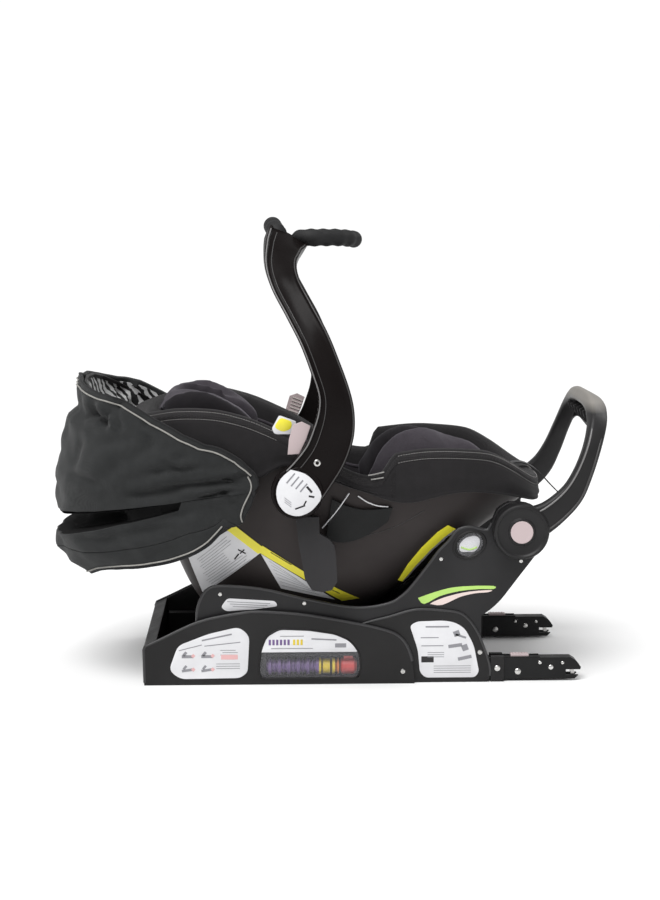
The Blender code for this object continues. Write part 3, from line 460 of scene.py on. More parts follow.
def grid_faces(rows, cols, wrap_rows=False, wrap_cols=False, first=0, flip=False):
    """Quads of a grid of points, numbered row by row."""
    faces = []
    for i in range(rows if wrap_rows else rows - 1):
        m = (i + 1) % rows
        for k in range(cols if wrap_cols else cols - 1):
            n = (k + 1) % cols
            quad = (first + i * cols + k, first + i * cols + n, first + m * cols + n, first + m * cols + k)
            faces.append(quad[::-1] if flip else quad)
    return faces


def loft(name, rows, finish, body, sharp=40.0, ring=False):
    """A closed skin over loops of equal length, capped at both ends unless the loops form a ring."""
    count = len(rows[0])
    points = [tuple(p) for row in rows for p in row]
    faces = grid_faces(len(rows), count, ring, True)
    if not ring:
        faces += [tuple(range(count))[::-1], tuple((len(rows) - 1) * count + k for k in range(count))]
    return outward(put(name, points, faces, finish, body, sharp))


def grid_normals(grid, ring=False):
    """Unit normals of a grid of points, whose rows may close on themselves."""
    along = np.roll(grid, -1, 1) - np.roll(grid, 1, 1) if ring else np.gradient(grid, axis=1)
    normal = np.cross(np.gradient(grid, axis=0), along)
    length = np.linalg.norm(normal, axis=2, keepdims=True)
    return normal / np.maximum(length, 1e-9)


def sheet_skin(name, grid, thickness, finish, body, flip=False):
    """A closed cloth skin: the grid, and its copy one thickness behind it, joined along the open edges."""
    grid = np.asarray(grid, float)
    rows, cols = grid.shape[:2]
    normal = grid_normals(grid) * (-1.0 if flip else 1.0)
    back = grid - normal * thickness
    points = np.concatenate([grid.reshape(-1, 3), back.reshape(-1, 3)])
    total = rows * cols
    front = grid_faces(rows, cols, False, False, 0, flip)
    rear = grid_faces(rows, cols, False, False, total, not flip)
    borders = [(i * cols + k, i * cols + k + 1, turn) for i, turn in ((0, False), (rows - 1, True))
               for k in range(cols - 1)]
    borders += [(i * cols + k, (i + 1) * cols + k, turn) for k, turn in ((0, True), (cols - 1, False))
                for i in range(rows - 1)]
    edge = [(a, b, b + total, a + total) if turn != flip else (b, a, a + total, b + total) for a, b, turn in borders]
    return outward(put(name, points, front + rear + edge, finish, body, 60.0))


def spline(points, steps=3):
    """A smooth curve through points of any dimension, with a few steps between each pair."""
    out = []
    last = len(points) - 1
    for i in range(last):
        before, a = points[max(i - 1, 0)], points[i]
        b, after = points[i + 1], points[min(i + 2, last)]
        for k in range(steps):
            t = k / steps
            out.append(tuple(
                0.5 * (2 * q + (r - p) * t + (2 * p - 5 * q + 4 * r - s) * t ** 2 + (3 * q - p - 3 * r + s) * t ** 3)
                for p, q, r, s in zip(before, a, b, after)))
    out.append(tuple(float(v) for v in points[-1]))
    return out


def rounded(outline, radius):
    """A closed outline with each corner rounded."""
    steps = 4
    out = []
    count = len(outline)
    for k in range(count):
        here = Vector(outline[k])
        before, after = Vector(outline[k - 1]) - here, Vector(outline[(k + 1) % count]) - here
        reach = min(radius, before.length * 0.45, after.length * 0.45)
        a, b = here + before.normalized() * reach, here + after.normalized() * reach
        for m in range(steps + 1):
            t = m / steps
            out.append(tuple(a * (1 - t) ** 2 + here * 2 * t * (1 - t) + b * t ** 2))
    return out


def resample(path, step, closed=False):
    """Points evenly spaced along a path."""
    path = [Vector(p) for p in path]
    if closed:
        path.append(path[0])
    lengths = [0.0]
    for a, b in zip(path, path[1:]):
        lengths.append(lengths[-1] + (b - a).length)
    count = max(2, round(lengths[-1] / step))
    out, k = [], 0
    for m in range(count if closed else count + 1):
        target = lengths[-1] * m / count
        while k < len(path) - 2 and lengths[k + 1] < target:
            k += 1
        span = lengths[k + 1] - lengths[k]
        out.append(path[k].lerp(path[k + 1], (target - lengths[k]) / span if span > 0 else 0.0))
    return out


def heading(path, i):
    """The direction of a path at its point i."""
    after, before = path[min(i + 1, len(path) - 1)], path[max(i - 1, 0)]
    return (Vector(after[:3]) - Vector(before[:3])).normalized()


def square_to(tangent, wide):
    """A direction made square to a tangent."""
    return (wide - tangent * wide.dot(tangent)).normalized()


def frames(path, closed=False):
    """(wide, thick) along a path, square to it and turning as little as they can."""
    count = len(path)
    found = []
    wide = None
    for i in range(count):
        a = path[(i - 1) % count if closed else max(i - 1, 0)]
        b = path[(i + 1) % count if closed else min(i + 1, count - 1)]
        tangent = (b - a).normalized()
        if wide is None:
            seed = Vector((0, 0, 1)) if abs(tangent.z) < 0.9 else Vector((0, 1, 0))
            wide = tangent.cross(seed)
        wide = square_to(tangent, wide)
        found.append((wide, wide.cross(tangent)))
    return found


def tube_rows(path, radius, sides=8, closed=False):
    """Loops of a round bar along a path. radius may be a number or one for each point."""
    path = [Vector(p) for p in path]
    rows = []
    for i, (wide, thick) in enumerate(frames(path, closed)):
        r = radius[i] if isinstance(radius, (list, tuple)) else radius
        rows.append([path[i] + (wide * math.cos(2 * math.pi * k / sides)
                                + thick * math.sin(2 * math.pi * k / sides)) * r
                     for k in range(sides)])
    return rows


def cord_piece(name, path, radius, finish, body, sides=8, closed=False):
    """A round bead, piping or bar along a path."""
    return loft(name, tube_rows(path, radius, sides, closed), finish, body, 60.0, closed)


def stitches(name, paths, pitch, radius, finish="thread"):
    """Rows of thread on the carrier: each stitch is a small spindle that dips into the cloth at both ends."""
    sizes = [radius * 0.35, radius, radius, radius * 0.35]
    parts = []
    for path in paths:
        spots = resample(path, pitch / 4)
        parts += [tube_rows(spots[k:k + 4], sizes, 6) for k in range(0, len(spots) - 4, 4)]
    return many(name, parts, finish, "carrier", 80.0)


def ribbon(name, path, width):
    """A strap of webbing on the carrier, wide along Y, with rounded edges and its own UV in metres."""
    path = [Vector(p) for p in path]
    w, t = width / 2, 0.95
    across = Vector((0, 1, 0))
    section = [(-w, 0), (-w + t * 0.4, t * 0.8), (-w + t, t)] + [(w * s, t) for s in (-0.6, -0.2, 0.2, 0.6)]
    section += [(w - t, t), (w - t * 0.4, t * 0.8), (w, 0), (w - t * 0.4, -t * 0.8), (w - t, -t)]
    section += [(w * s, -t) for s in (0.6, 0.2, -0.2, -0.6)] + [(t - w, -t), (-w + t * 0.4, -t * 0.8)]
    rows, run = [], [0.0]
    count = len(path)
    for i, here in enumerate(path):
        tangent = heading(path, i)
        wide = square_to(tangent, across)
        thick = tangent.cross(wide)
        rows.append([here + wide * a + thick * b for a, b in section])
        run.append(run[-1] + ((path[i + 1] - here).length if i + 1 < count else 0.0))
    item = loft(name, rows, "strap", "carrier", 50.0)
    chart = item.data.uv_layers.new(name="cloth")
    size = len(section)
    for loop in item.data.loops:
        row, k = divmod(loop.vertex_index, size)
        chart.data[loop.index].uv = (section[k][0] * MM, run[row] * MM)
    return item


def plate(name, outline, side, inner, outer, finish, body):
    """An X-Z outline between two distances from the middle plane, its outer edge softened."""
    centre = Vector((sum(p[0] for p in outline) / len(outline), sum(p[1] for p in outline) / len(outline)))
    depth = outer - inner
    soft = min(0.35 * depth, 0.8)
    rows = []
    for y, shrink in ((inner, 0.0), (outer - soft, 0.0), (outer - soft * 0.3, soft * 0.5), (outer, soft)):
        row = []
        for x, z in outline:
            away = Vector((x, z)) - centre
            reach = away.length
            factor = (reach - shrink) / reach if reach > shrink else 1.0
            spot = centre + away * factor
            row.append((spot.x, side * y, spot.y))
        rows.append(row)
    return loft(name, rows, finish, body, 35.0)


def slabs(name, boxes, side, inner, outer, finish, body):
    """Many thin printed bars in one piece: each is (x, z, length, height, turn in degrees)."""
    points, faces = [], []
    for x, z, length, height, turn in boxes:
        c, s = math.cos(math.radians(turn)), math.sin(math.radians(turn))
        first = len(points)
        for y in (inner, outer):
            for a, b in ((-0.5, -0.5), (0.5, -0.5), (0.5, 0.5), (-0.5, 0.5)):
                u, v = a * length, b * height
                points.append((x + u * c - v * s, side * y, z + u * s + v * c))
        faces += [tuple(first + k for k in q) for q in
                  ((0, 1, 2, 3), (7, 6, 5, 4), (0, 4, 5, 1), (1, 5, 6, 2), (2, 6, 7, 3), (3, 7, 4, 0))]
    return outward(put(name, points, faces, finish, body, 30.0))


def lathe(profile, centre, axis, segments=24, hexed=()):
    """Loops of a turned piece: (distance along axis, radius) pairs. Rows numbered in hexed get six flats."""
    axis = Vector(axis).normalized()
    seed = Vector((0, 0, 1)) if abs(axis.z) < 0.9 else Vector((1, 0, 0))
    wide = axis.cross(seed).normalized()
    high = axis.cross(wide)
    rows = []
    for m, (along, radius) in enumerate(profile):
        row = []
        for k in range(segments):
            turn = 2 * math.pi * k / segments
            r = radius
            if m in hexed:
                r = radius / math.cos((turn + math.pi / 6) % (math.pi / 3) - math.pi / 6)
            row.append(Vector(centre) + axis * along + (wide * math.cos(turn) + high * math.sin(turn)) * r)
        rows.append(row)
    return rows


def turned(name, profile, pivot, side, segments, finish, body, ring=False):
    """A turned piece about a pivot's axis, its profile running outwards to one side."""
    return loft(name, lathe(profile, pivot, (0, side, 0), segments), finish, body, 30.0, ring)


def many(name, parts, finish, body, sharp):
    """Several lofted parts in one piece."""
    points, faces = [], []
    for rows in parts:
        first, count = len(points), len(rows[0])
        points += [tuple(p) for row in rows for p in row]
        faces += grid_faces(len(rows), count, False, True, first)
        faces += [tuple(first + k for k in range(count))[::-1],
                  tuple(first + (len(rows) - 1) * count + k for k in range(count))]
    return outward(put(name, points, faces, finish, body, sharp))


def screws(name, spots, side, y, body, r=3.6):
    """Pan-head screws of radius r with hexagonal sockets, their heads on one face that looks sideways."""
    profile = [(-1.0, r), (0.7, r), (1.4, r * 0.86), (1.7, r * 0.6), (1.7, r * 0.45), (0.5, r * 0.42), (0.5, 0.05)]
    return many(name, [lathe(profile, (x, side * y, z), (0, side, 0), 24, (4, 5)) for x, z in spots], "rivet", body,
                35.0)


def between(a, b, share):
    """The point that divides a line between two X-Z places."""
    return Vector(a).lerp(Vector(b), share)


def interpolate(line, x):
    """The height of an outline at x, straight between its points."""
    if x <= line[0][0]:
        return line[0][1]
    for (x0, z0), (x1, z1) in zip(line, line[1:]):
        if x <= x1:
            return z0 + (z1 - z0) * (x - x0) / (x1 - x0)
    return line[-1][1]


def smooth_line(points):
    """A finely stepped copy of an outline with its corners blurred, for smooth visible edges."""
    start_x, end_x = points[0][0], points[-1][0]
    count, spread = 240, 14.0
    out = []
    for k in range(count + 1):
        x = start_x + (end_x - start_x) * k / count
        total = sum(interpolate(points, min(max(x + d * spread / 4, start_x), end_x)) for d in range(-4, 5))
        out.append((x, total / 9))
    return out


def smooth_step(low, high, x):
    """0 below low, 1 above high, and an S curve between."""
    t = min(max((x - low) / (high - low), 0.0), 1.0)
    return t * t * (3 - 2 * t)


def superellipse(angle, power):
    """A point on a unit superellipse."""
    c, s = math.cos(angle), math.sin(angle)
    return math.copysign(abs(c) ** (2 / power), c), math.copysign(abs(s) ** (2 / power), s)


def oval(count, power):
    """The points of a unit superellipse, as a loop."""
    return [superellipse(2 * math.pi * m / count, power) for m in range(count)]


RIM_SMOOTH = smooth_line(RIM_LINE)
HEM_SMOOTH = smooth_line(HEM_LINE)


def rim_point(angle, out=0.0):
    """The rim loop of the shell at an angle, moved outwards by a distance."""
    c, s = superellipse(angle, RIM_POWER)
    x = RIM_CENTRE_X + (RIM_HALF_X + out) * c
    half = RIM_HALF_Y_HEAD + (RIM_HALF_Y_FOOT - RIM_HALF_Y_HEAD) * smooth_step(-60, 160, x)
    return Vector((x, (half + out) * s, interpolate(RIM_SMOOTH, x)))


def rim_angle(x, side, out=0.0):
    """The angle of rim_point whose X is x, on one side."""
    c = (x - RIM_CENTRE_X) / (RIM_HALF_X + out)
    return side * math.acos(math.copysign(min(abs(c), 1.0) ** (RIM_POWER / 2), c))


def bowl_point(angle, height, inset):
    """The shell's surface: height runs from 0 at the floor loop to 1 at the rim, inset moves it inwards."""
    rim = rim_point(angle, -inset)
    c, s = superellipse(angle, FLOOR_POWER)
    floor = Vector((FLOOR_CENTRE_X + (FLOOR_HALF_X - inset) * c, (FLOOR_HALF_Y - inset) * s, FLOOR_Z + inset))
    cosine = math.cos(angle)
    spread = height ** (0.42 + ((1.0 if cosine > 0 else 0.6) - 0.42) * abs(cosine) ** 1.5)
    return Vector((floor.x + (rim.x - floor.x) * spread, floor.y + (rim.y - floor.y) * spread,
                   floor.z + (rim.z - floor.z) * height))


def liner_point(angle, height, off=0.0):
    """The seating surface of the cover, moved off it by a distance towards the child."""
    rim = rim_point(angle, -WALL - LINER_THICKNESS - off)
    c, s = superellipse(angle, LINER_POWER)
    floor = Vector((LINER_CENTRE_X + (LINER_HALF_X - off) * c, (LINER_HALF_Y - off) * s, LINER_Z + off))
    spread = height ** (0.62 + 0.38 * abs(math.cos(angle)))
    return Vector((floor.x + (rim.x - floor.x) * spread, floor.y + (rim.y - floor.y) * spread,
                   floor.z + (rim.z - floor.z) * height))


def even_angles(count):
    """Angles of the rim loop, closer together where the loop turns, so that its points are evenly spaced."""
    fine = [2 * math.pi * k / 2400 for k in range(2401)]
    places = [rim_point(a) for a in fine]
    run = [0.0]
    for a, b in zip(places, places[1:]):
        run.append(run[-1] + (b - a).length)
    targets = [run[-1] * k / count for k in range(count)]
    return [float(a) for a in np.interp(targets, run, fine)]


# ---------------------------------------------------------------- base

TRAY_TOP = [(-273, 56), (-249, 67), (-192, 93), (-134, 104.5), (-106, 106.5), (-48, 102.5), (9, 93),
            (67, 80.5), (96, 68), (111, 42), (117, 6)]
HOUSING_TOP = [(20, 79), (53, 90), (81, 97), (110, 105.5), (132, 107.5), (175, 103.5), (191, 96), (206, 77),
               (218, 50), (227, 20), (225, 2)]
CARRIAGE_LEFT = [(-196.5, 93), (-195, 111), (-187, 131), (-177, 140), (-160, 142.5), (-106, 138), (-48, 124),
                 (-5, 115), (24, 110), (53, 110), (82, 116), (96, 124), (111, 138), (139, 174), (152, 192),
                 (166, 206), (178, 222), (196, 227), (214, 223), (222, 222), (228, 232)]
WINDOW = [(-104, 9), (-108, 20), (-105, 50), (-97, 71), (-78, 82), (-35, 80), (2, 74), (24, 64), (38, 45),
          (39, 20), (33, 9)]
LABEL_LEFT = [(-237, 22), (-224, 58), (-180, 75), (-136, 85), (-121, 72), (-124, 18), (-135, 10), (-221, 9)]
LABEL_RIGHT = [(110, 84), (121, 90), (160, 91), (176, 88), (190, 79), (203, 55), (211, 15), (205, 7), (133, 7),
               (125, 15), (122, 48)]
LABEL_TOP = [(-162, 112), (-153, 125), (-84, 120.5), (-80, 113), (-118, 108), (-155, 106)]


def bead(name, outline, side, y, radius, finish, body):
    """A raised round lip along an outline on a side face."""
    path = resample([(x, side * y, z) for x, z in outline], 6.0)
    return cord_piece(name, path, radius, finish, body, 10)


def build_base(name, side):
    """What one side of the base and cradle shows: lips, labels with generic print, a window frame, a level, screws."""
    # The lips take the lighter lip grey: a painted highlight along the rounded top edges.
    bead("tray_lip_" + name, [(-272, 4)] + spline(TRAY_TOP, 4)[:-3], side, 158.6, 2.2, "lip", "base")
    bead("housing_lip_" + name, spline(HOUSING_TOP, 4)[2:-2], side, 152.8, 2.0, "lip", "base")
    bead("cradle_lip_" + name, [(-196.5, 66)] + spline(CARRIAGE_LEFT, 4), side, 148.2, 2.4, "lip", "carriage")
    shrunk = [(x * 0.985 - 0.5, 44 + (z - 44) * 0.96) for x, z in WINDOW]
    frame_path = resample([(x, side * 160.0, z) for x, z in rounded(WINDOW, 9)], 4.0, True)
    cord_piece("window_frame_" + name, frame_path, 1.3, "black", "base", 8, True)

    plate("label_belt_" + name, rounded(LABEL_LEFT, 9), side, TRAY_FACE - 0.3, TRAY_FACE + 0.3, "white", "base")
    plate("label_anchor_" + name, rounded(LABEL_RIGHT, 9), side, HOUSING_FACE - 0.3, HOUSING_FACE + 0.3, "white",
          "base")
    plate("label_cradle_" + name, rounded(LABEL_TOP, 5), side, CRADLE_FACE - 0.3, CRADLE_FACE + 0.3, "white",
          "carriage")
    upper = [(x, z) for x, z in shrunk if z > 46.5]
    upper = [(-104, 47.5)] + upper + [(36.4, 47.5)]
    plate("label_strut_" + name, rounded(upper, 5), side, TRAY_FACE + 0.05, TRAY_FACE + 0.5, "white", "base")

    bars = [(-168, 70, 44, 2.2, 12), (-206, 55, 34, 1.3, 14), (-160, 60, 52, 1.3, 6)]
    bars += [(-152 + 3 * (k % 2), 51 - 3.4 * k, 22, 0.9, 0) for k in range(4)]
    bars += [(-152, 31 - 3.4 * k, 34, 0.9, 0) for k in range(3)]
    slabs("print_belt_" + name, bars, side, TRAY_FACE + 0.1, TRAY_FACE + 0.42, "ink", "base")
    tiles = [(-210, 42, 17, 8, 0), (-182, 42, 17, 8, 0), (-210, 22, 17, 7, 8), (-182, 22, 17, 7, 8)]
    slabs("tiles_belt_" + name, [(x, z, w, 0.55 * h, t) for x, z, w, h, t in tiles]
          + [(x - 4, z + 4, 0.4 * w, 0.5 * h, 50) for x, z, w, h, t in tiles], side, TRAY_FACE + 0.1, TRAY_FACE + 0.45,
          "ink", "base")
    slabs("dots_belt_" + name, [(x + 8, z + 1, 4.5, 4.5, 45) for x, z, *_ in tiles]
          + [(-150, 41, 24, 7, 0)], side, TRAY_FACE + 0.1, TRAY_FACE + 0.5, "pink", "base")
    bars = [(150, 82, 34, 2.2, 0), (139, 66, 26, 1.3, 0), (143, 54, 32, 1.3, 0)]
    bars += [(148, 44 - 3.2 * k, 24, 0.9, 0) for k in range(3)] + [(172, 24 - 3.2 * k, 54, 0.9, 0) for k in range(4)]
    bars += [(178, 72, 9, 8, 20), (184, 68, 16, 3, -18), (176, 54, 20, 5, 8), (190, 51, 9, 9, 20), (190, 36, 20, 5, 12)]
    slabs("print_anchor_" + name, bars, side, HOUSING_FACE + 0.1, HOUSING_FACE + 0.42, "ink", "base")
    slabs("tiles_anchor_" + name, [(136, 34, 18, 9, 0)], side, HOUSING_FACE + 0.1, HOUSING_FACE + 0.4, "charcoal",
          "base")
    slabs("print_cradle_" + name, [(-122, 118.5 - 3.2 * k, 62 - 8 * k, 0.9, -3) for k in range(3)],
          side, CRADLE_FACE + 0.1, CRADLE_FACE + 0.42, "ink", "carriage")
    bars = [(-92 + 5.4 * k, 62, 3.2, 8, 0) for k in range(6)]
    slabs("strut_key_" + name, bars, side, TRAY_FACE + 0.3, TRAY_FACE + 0.75, "purple", "base")
    bars = [(-57 + 5.4 * k, 62, 3.2, 8, 0) for k in range(3)]
    slabs("strut_key_end_" + name, bars, side, TRAY_FACE + 0.3, TRAY_FACE + 0.75, "yellow_disc", "base")
    slabs("print_strut_" + name, [(-14, 66, 36, 2.0, -3), (-60, 71, 34, 1.0, 0), (-60, 53, 60, 1.0, 0),
                                  (10, 57, 16, 6, 0)], side, TRAY_FACE + 0.3, TRAY_FACE + 0.72, "ink", "base")

    screws("screws_tray_" + name, [(100, 18)], side, TRAY_FACE, "base")
    screws("screws_housing_" + name, [(212, 44)], side, HOUSING_FACE, "base")
    screws("screws_bracket_" + name, [(237.5, 20)], side, HOUSING_FACE, "base", 4.2)
    screws("screws_cradle_" + name, [(-163, 131), (-42, 117), (155, 180.5)], side, CRADLE_FACE, "carriage", 3.0)

    stripe = [(122, 123.6), (130.8, 114.7), (153.8, 126.3), (182.7, 133.5), (211.6, 136.2), (231.5, 136.1),
              (231.5, 140.5), (197.1, 140.7), (168.2, 138.0), (142.2, 130.8)]
    lower = [(139.4, 114.7), (156.8, 113.1), (182.8, 124.7), (204.4, 130.0), (223.2, 131.5), (228.0, 134.4),
             (197.2, 132.6), (168.3, 126.6), (148.1, 119.6)]
    for stem, line, finish in (("lime", stripe, "lime"), ("blush", lower, "blush")):
        plate("accent_%s_%s" % (stem, name), spline(line + line[:1], 3)[:-1], side, CRADLE_FACE - 0.3,
              CRADLE_FACE + 0.35, finish, "carriage")
    ring = resample([(196 + 20 * math.cos(t * math.pi / 24) + 3.5 * math.cos(t * math.pi / 24 - 0.7), side * 149.6,
                      201 + 16.5 * math.sin(t * math.pi / 24) + 3.5 * math.sin(t * math.pi / 24 + 0.7))
                     for t in range(48)], 4.0, True)
    cord_piece("level_frame_" + name, ring, 2.2, "black", "carriage", 10, True)
    plate("level_card_" + name, rounded([(182, 190), (204, 190), (211, 199), (211, 210), (204, 214), (190, 211),
                                         (181, 201)], 7), side, 146.9, 147.3, "white", "carriage")
    cord_piece("level_vial_" + name, spline([(184, side * 147.2, 197), (196, side * 147.2, 193.5),
                                             (207, side * 147.2, 197)], 5), 1.3, "lime", "carriage", 10)


def build_strut(name, side):
    """The crush discs behind the window: purple, then yellow, then an orange ring."""
    def discs(spots):
        """Turned discs along the strut, each (x, width, radius)."""
        return [lathe([(-w / 2, r * 0.72), (-w / 2 + 0.5, r), (w / 2 - 0.5, r), (w / 2, r * 0.72)],
                      (x, side * STRUT_Y, STRUT_Z), (1, 0, 0), 28) for x, w, r in spots]
    core = discs([(-59, 77, 9.0)])
    rings = core + discs([(-92.0 + 13.8 * k, 5.4, 12.4) for k in range(6)] + [(-85.4 + 13.8 * k, 2.2, 11.2)
                                                                           for k in range(5)])
    yellow = discs([(-19.5, 4.4, 12.4), (-10.2, 11.0, 11.2), (0.4, 4.6, 12.4)])
    orange = discs([(6.8, 3.4, 12.0), (3.6, 2.4, 9.0)])
    for stem, parts, finish in (("strut_rings_", rings, "purple"), ("strut_yellow_", yellow, "yellow_disc"),
                                ("strut_orange_", orange, "orange_disc")):
        item = many(stem + name, parts, finish, "base", 35.0)
        if parts is rings:
            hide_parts("strut_stack_" + name)
        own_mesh(item)


def build_connector(name, side):
    """Rivets on both sides of the connector, grip ridges on its slider and the two tracks that it slides along."""
    body = "connector_" + name
    y = side * CONNECTOR_Y
    parts = []
    for x, z, r in ((268, 14, 4.4), (300, 27, 2.8), (316, 20, 4.0), (333, 26.5, 2.6)):
        for face in (-1, 1):
            parts.append(lathe([(-1, r), (0.4, r), (1.3, r * 0.75), (1.7, r * 0.35), (1.8, 0.1)],
                               (x, y + face * 10.0, z), (0, face, 0), 20))
    many("rivets_" + name, parts, "rivet", body, 50.0)
    ridges = []
    for k in range(5):
        x = 262 + 4.4 * k
        ridges.append(tube_rows([(x, y - 5.2, 38.6), (x, y, 38.9), (x, y + 5.2, 38.6)], 0.9, 8))
    many("slider_ridges_" + name, ridges, "mauve", "release_" + name, 50.0)
    for s, off in (("a", -8.6), ("b", 8.6)):
        cord_piece("track_" + s + "_" + name, [(244 + 56 * k / 8, y + off, 35.0) for k in range(9)], 1.1,
                   "anchor_metal", body)


for name, side in SIDES:
    build_base(name, side)
    build_strut(name, side)
    build_connector(name, side)


# ---------------------------------------------------------------- shell

SHELL_ANGLES = even_angles(180)
SHELL_HEIGHTS = [0.0, 0.012, 0.03, 0.055, 0.09] + [0.09 + 0.91 * (k / 26) for k in range(1, 27)]


def build_shell():
    """The moulded bucket with its turned lip, and the bosses for handle and canopy. Returns its outer surface."""
    outer = [[bowl_point(a, h, 0) for a in SHELL_ANGLES] for h in SHELL_HEIGHTS]
    inner = [[bowl_point(a, h, WALL) for a in SHELL_ANGLES] for h in reversed(SHELL_HEIGHTS)]
    lip = [[bowl_point(a, 1.0, s) + Vector((0, 0, z)) for a in SHELL_ANGLES]
           for s, z in ((0.6, 0.5), (2.0, 0.9), (3.4, 0.5))]
    rows = outer + lip + inner
    shell = loft("shell", rows, "shell", "carrier", 50.0)
    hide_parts("carrier_shell")
    tree = BVHTree.FromPolygons([tuple(p) for row in outer for p in row],
                                grid_faces(len(outer), len(SHELL_ANGLES), False, True))
    for name, side in SIDES:
        boss = [(150, 23.8), (196, 23.8), (203, 23.8), (205, 22.8), (205.5, 21), (205.5, 10), (190, 9.6), (190, 0.1)]
        turned("handle_boss_" + name, boss, HANDLE_PIVOT, side, 48, "shell", "carrier")
        hub = [(150, 13), (182, 13), (183.6, 12.2), (184, 11), (184, 6.6), (174, 6.5), (174, 0.1)]
        turned("canopy_boss_" + name, hub, CANOPY_PIVOT, side, 36, "shell", "carrier")
    return tree


def on_shell(tree, x, z, side, off=0.5):
    """The point of the shell's outer surface at x and z, a little off it."""
    spot, normal, *_ = tree.ray_cast(Vector((x, side * 320.0, z)), Vector((0, -side, 0)), 400.0)
    if spot is None:
        return None
    if normal.y * side < 0:
        normal = -normal
    return spot + normal * off


def shell_label(name, tree, corners, side, finish, off, cells):
    """A label of four corners (X-Z), laid on the curved shell."""
    a, b, c, d = [Vector(p) for p in corners]
    grid = []
    for i in range(cells[0] + 1):
        u = i / cells[0]
        row = []
        for k in range(cells[1] + 1):
            v = k / cells[1]
            p = a.lerp(b, u).lerp(d.lerp(c, u), v)
            row.append(tuple(on_shell(tree, p.x, p.y, side, off)))
        grid.append(row)
    return sheet_skin(name, grid, 0.3, finish, "carrier", flip=side > 0)


def build_shell_labels(tree):
    """Generic labels of bars and patches on the shell's sides, without any lettering."""
    for name, side in SIDES:
        for stem, corners, finish, off, cells in (
                ("side_", [(-212, 180), (-141, 229), (-98, 194), (-190, 118)], "white", 0.5, (14, 10)),
                ("side_head_", [(-152, 222), (-141, 229.5), (-97, 194), (-108, 187)], "yellow", 0.9, (6, 14)),
                ("strip_", [(-102, 200), (-43, 161), (-47, 152), (-106, 189)], "yellow", 1.0, (24, 5)),
                ("strip_far_", [(-43, 161), (39, 115), (14, 112), (-47, 152)], "yellow", 1.1, (34, 6)),
                ("strip_low_", [(-104, 187), (-48, 151), (3, 115), (-75, 133)], "white", 0.8, (30, 16))):
            shell_label("label_" + stem + name, tree, corners, side, finish, off, cells)
        rows = []
        for k in range(13):
            a, b = between((-199, 171), (-183, 126), k / 12), between((-148, 217), (-112, 184), k / 12)
            share = 0.62 if 3 < k < 9 else 0.9 - 0.05 * (k % 2)
            rows.append((a.lerp(b, 0.05 + 0.03 * (k % 3)), a.lerp(b, share), 0.32))
        for k in range(7):
            a, b = between((-92, 176), (-74, 138), k / 6), between((-52, 148), (-20, 124), k / 6)
            rows.append((a, b, 0.3))
        marks = [((-137, 193), (-126, 187), 1.0), ((-134, 187), (-128, 193), 1.0), ((-142, 178), (-136, 186), 1.1),
                 ((-90, 190), (-60, 171), 0.8), ((-30, 148), (10, 125), 0.8)]
        for stem, group, finish in (("print", rows, "ink"), ("mark", marks, "charcoal")):
            tubes = []
            for a, b, size in group:
                a, b = Vector(a), Vector(b)
                spots = [on_shell(tree, *a.lerp(b, t / 12), side, 1.05) for t in range(13)]
                tubes.append(tube_rows(spots, size, 6))
            many("label_%s_%s" % (stem, name), tubes, finish, "carrier", 60.0)
        outer = [(96, 141), (109, 167), (128, 193), (151, 217), (166, 227)]
        inner = [(103, 137), (121, 163), (141, 187), (162, 208), (178, 220)]
        for k in range(4):
            quad = [outer[k], outer[k + 1], inner[k + 1], inner[k]]
            # The curved yellow labels glow faintly: painted light against the carriage's shade.
            shell_label("label_curve_%d_%s" % (k, name), tree, quad, side, "yellow_lit", 0.9, (5, 4))
            rim = [inner[k], inner[k + 1], tuple(Vector(inner[k + 1]) + Vector((3, -2))),
                   tuple(Vector(inner[k]) + Vector((3, -2)))]
            shell_label("label_curve_rim_%d_%s" % (k, name), tree, rim, side, "white", 0.6, (4, 2))


shell_tree = build_shell()


# ---------------------------------------------------------------- canopy

FRONT_HEM = [(0, 40), (5, 36), (13, 40), (23.7, 64), (30.7, 80), (37.9, 94), (56, 112), (90, 132.4), (119.4, 138.3),
             (167.2, 142.1), (216.8, 143.9), (227.9, 145.3), (245.4, 147.1), (262.5, 148.2), (276, 148.6), (290, 148.4)]
FOLD = [(0, 188), (290, 188)]
SEAM = [(50, 226), (64, 225), (100, 214.5), (174, 207), (230, 202.7), (290, 198)]
REAR_HEM = [(0, 290), (14, 275), (30, 262), (45, 261), (51, 249), (59, 237.5), (64, 237), (92, 234), (135, 225.3),
            (174, 217.8), (212, 212.6), (250, 209.6), (290, 209.8)]
TONGUE_PIPING = [(-122, 308), (-118, 300), (-117, 292), (-119.5, 284), (-124, 275), (-129, 264), (-132, 252),
                 (-130, 243)]
OUTLINE = [(144, 286), (148, 289.5), (150.5, 288.5), (153.6, 279), (156.7, 269), (160.8, 280.5), (164.5, 278),
           (170.8, 276), (176.9, 281.8), (183, 285), (187.4, 286.5), (190.8, 285.8), (192, 288.5), (194.5, 295),
           (199, 298), (204.3, 290), (209.2, 278), (211, 273)]
BOW_ANGLES = (148.8, 187.8)
LINING_END = 186.6
HUB_RADIUS = 26.0
TUCK_FIRST, TUCK_LAST = 43, 52
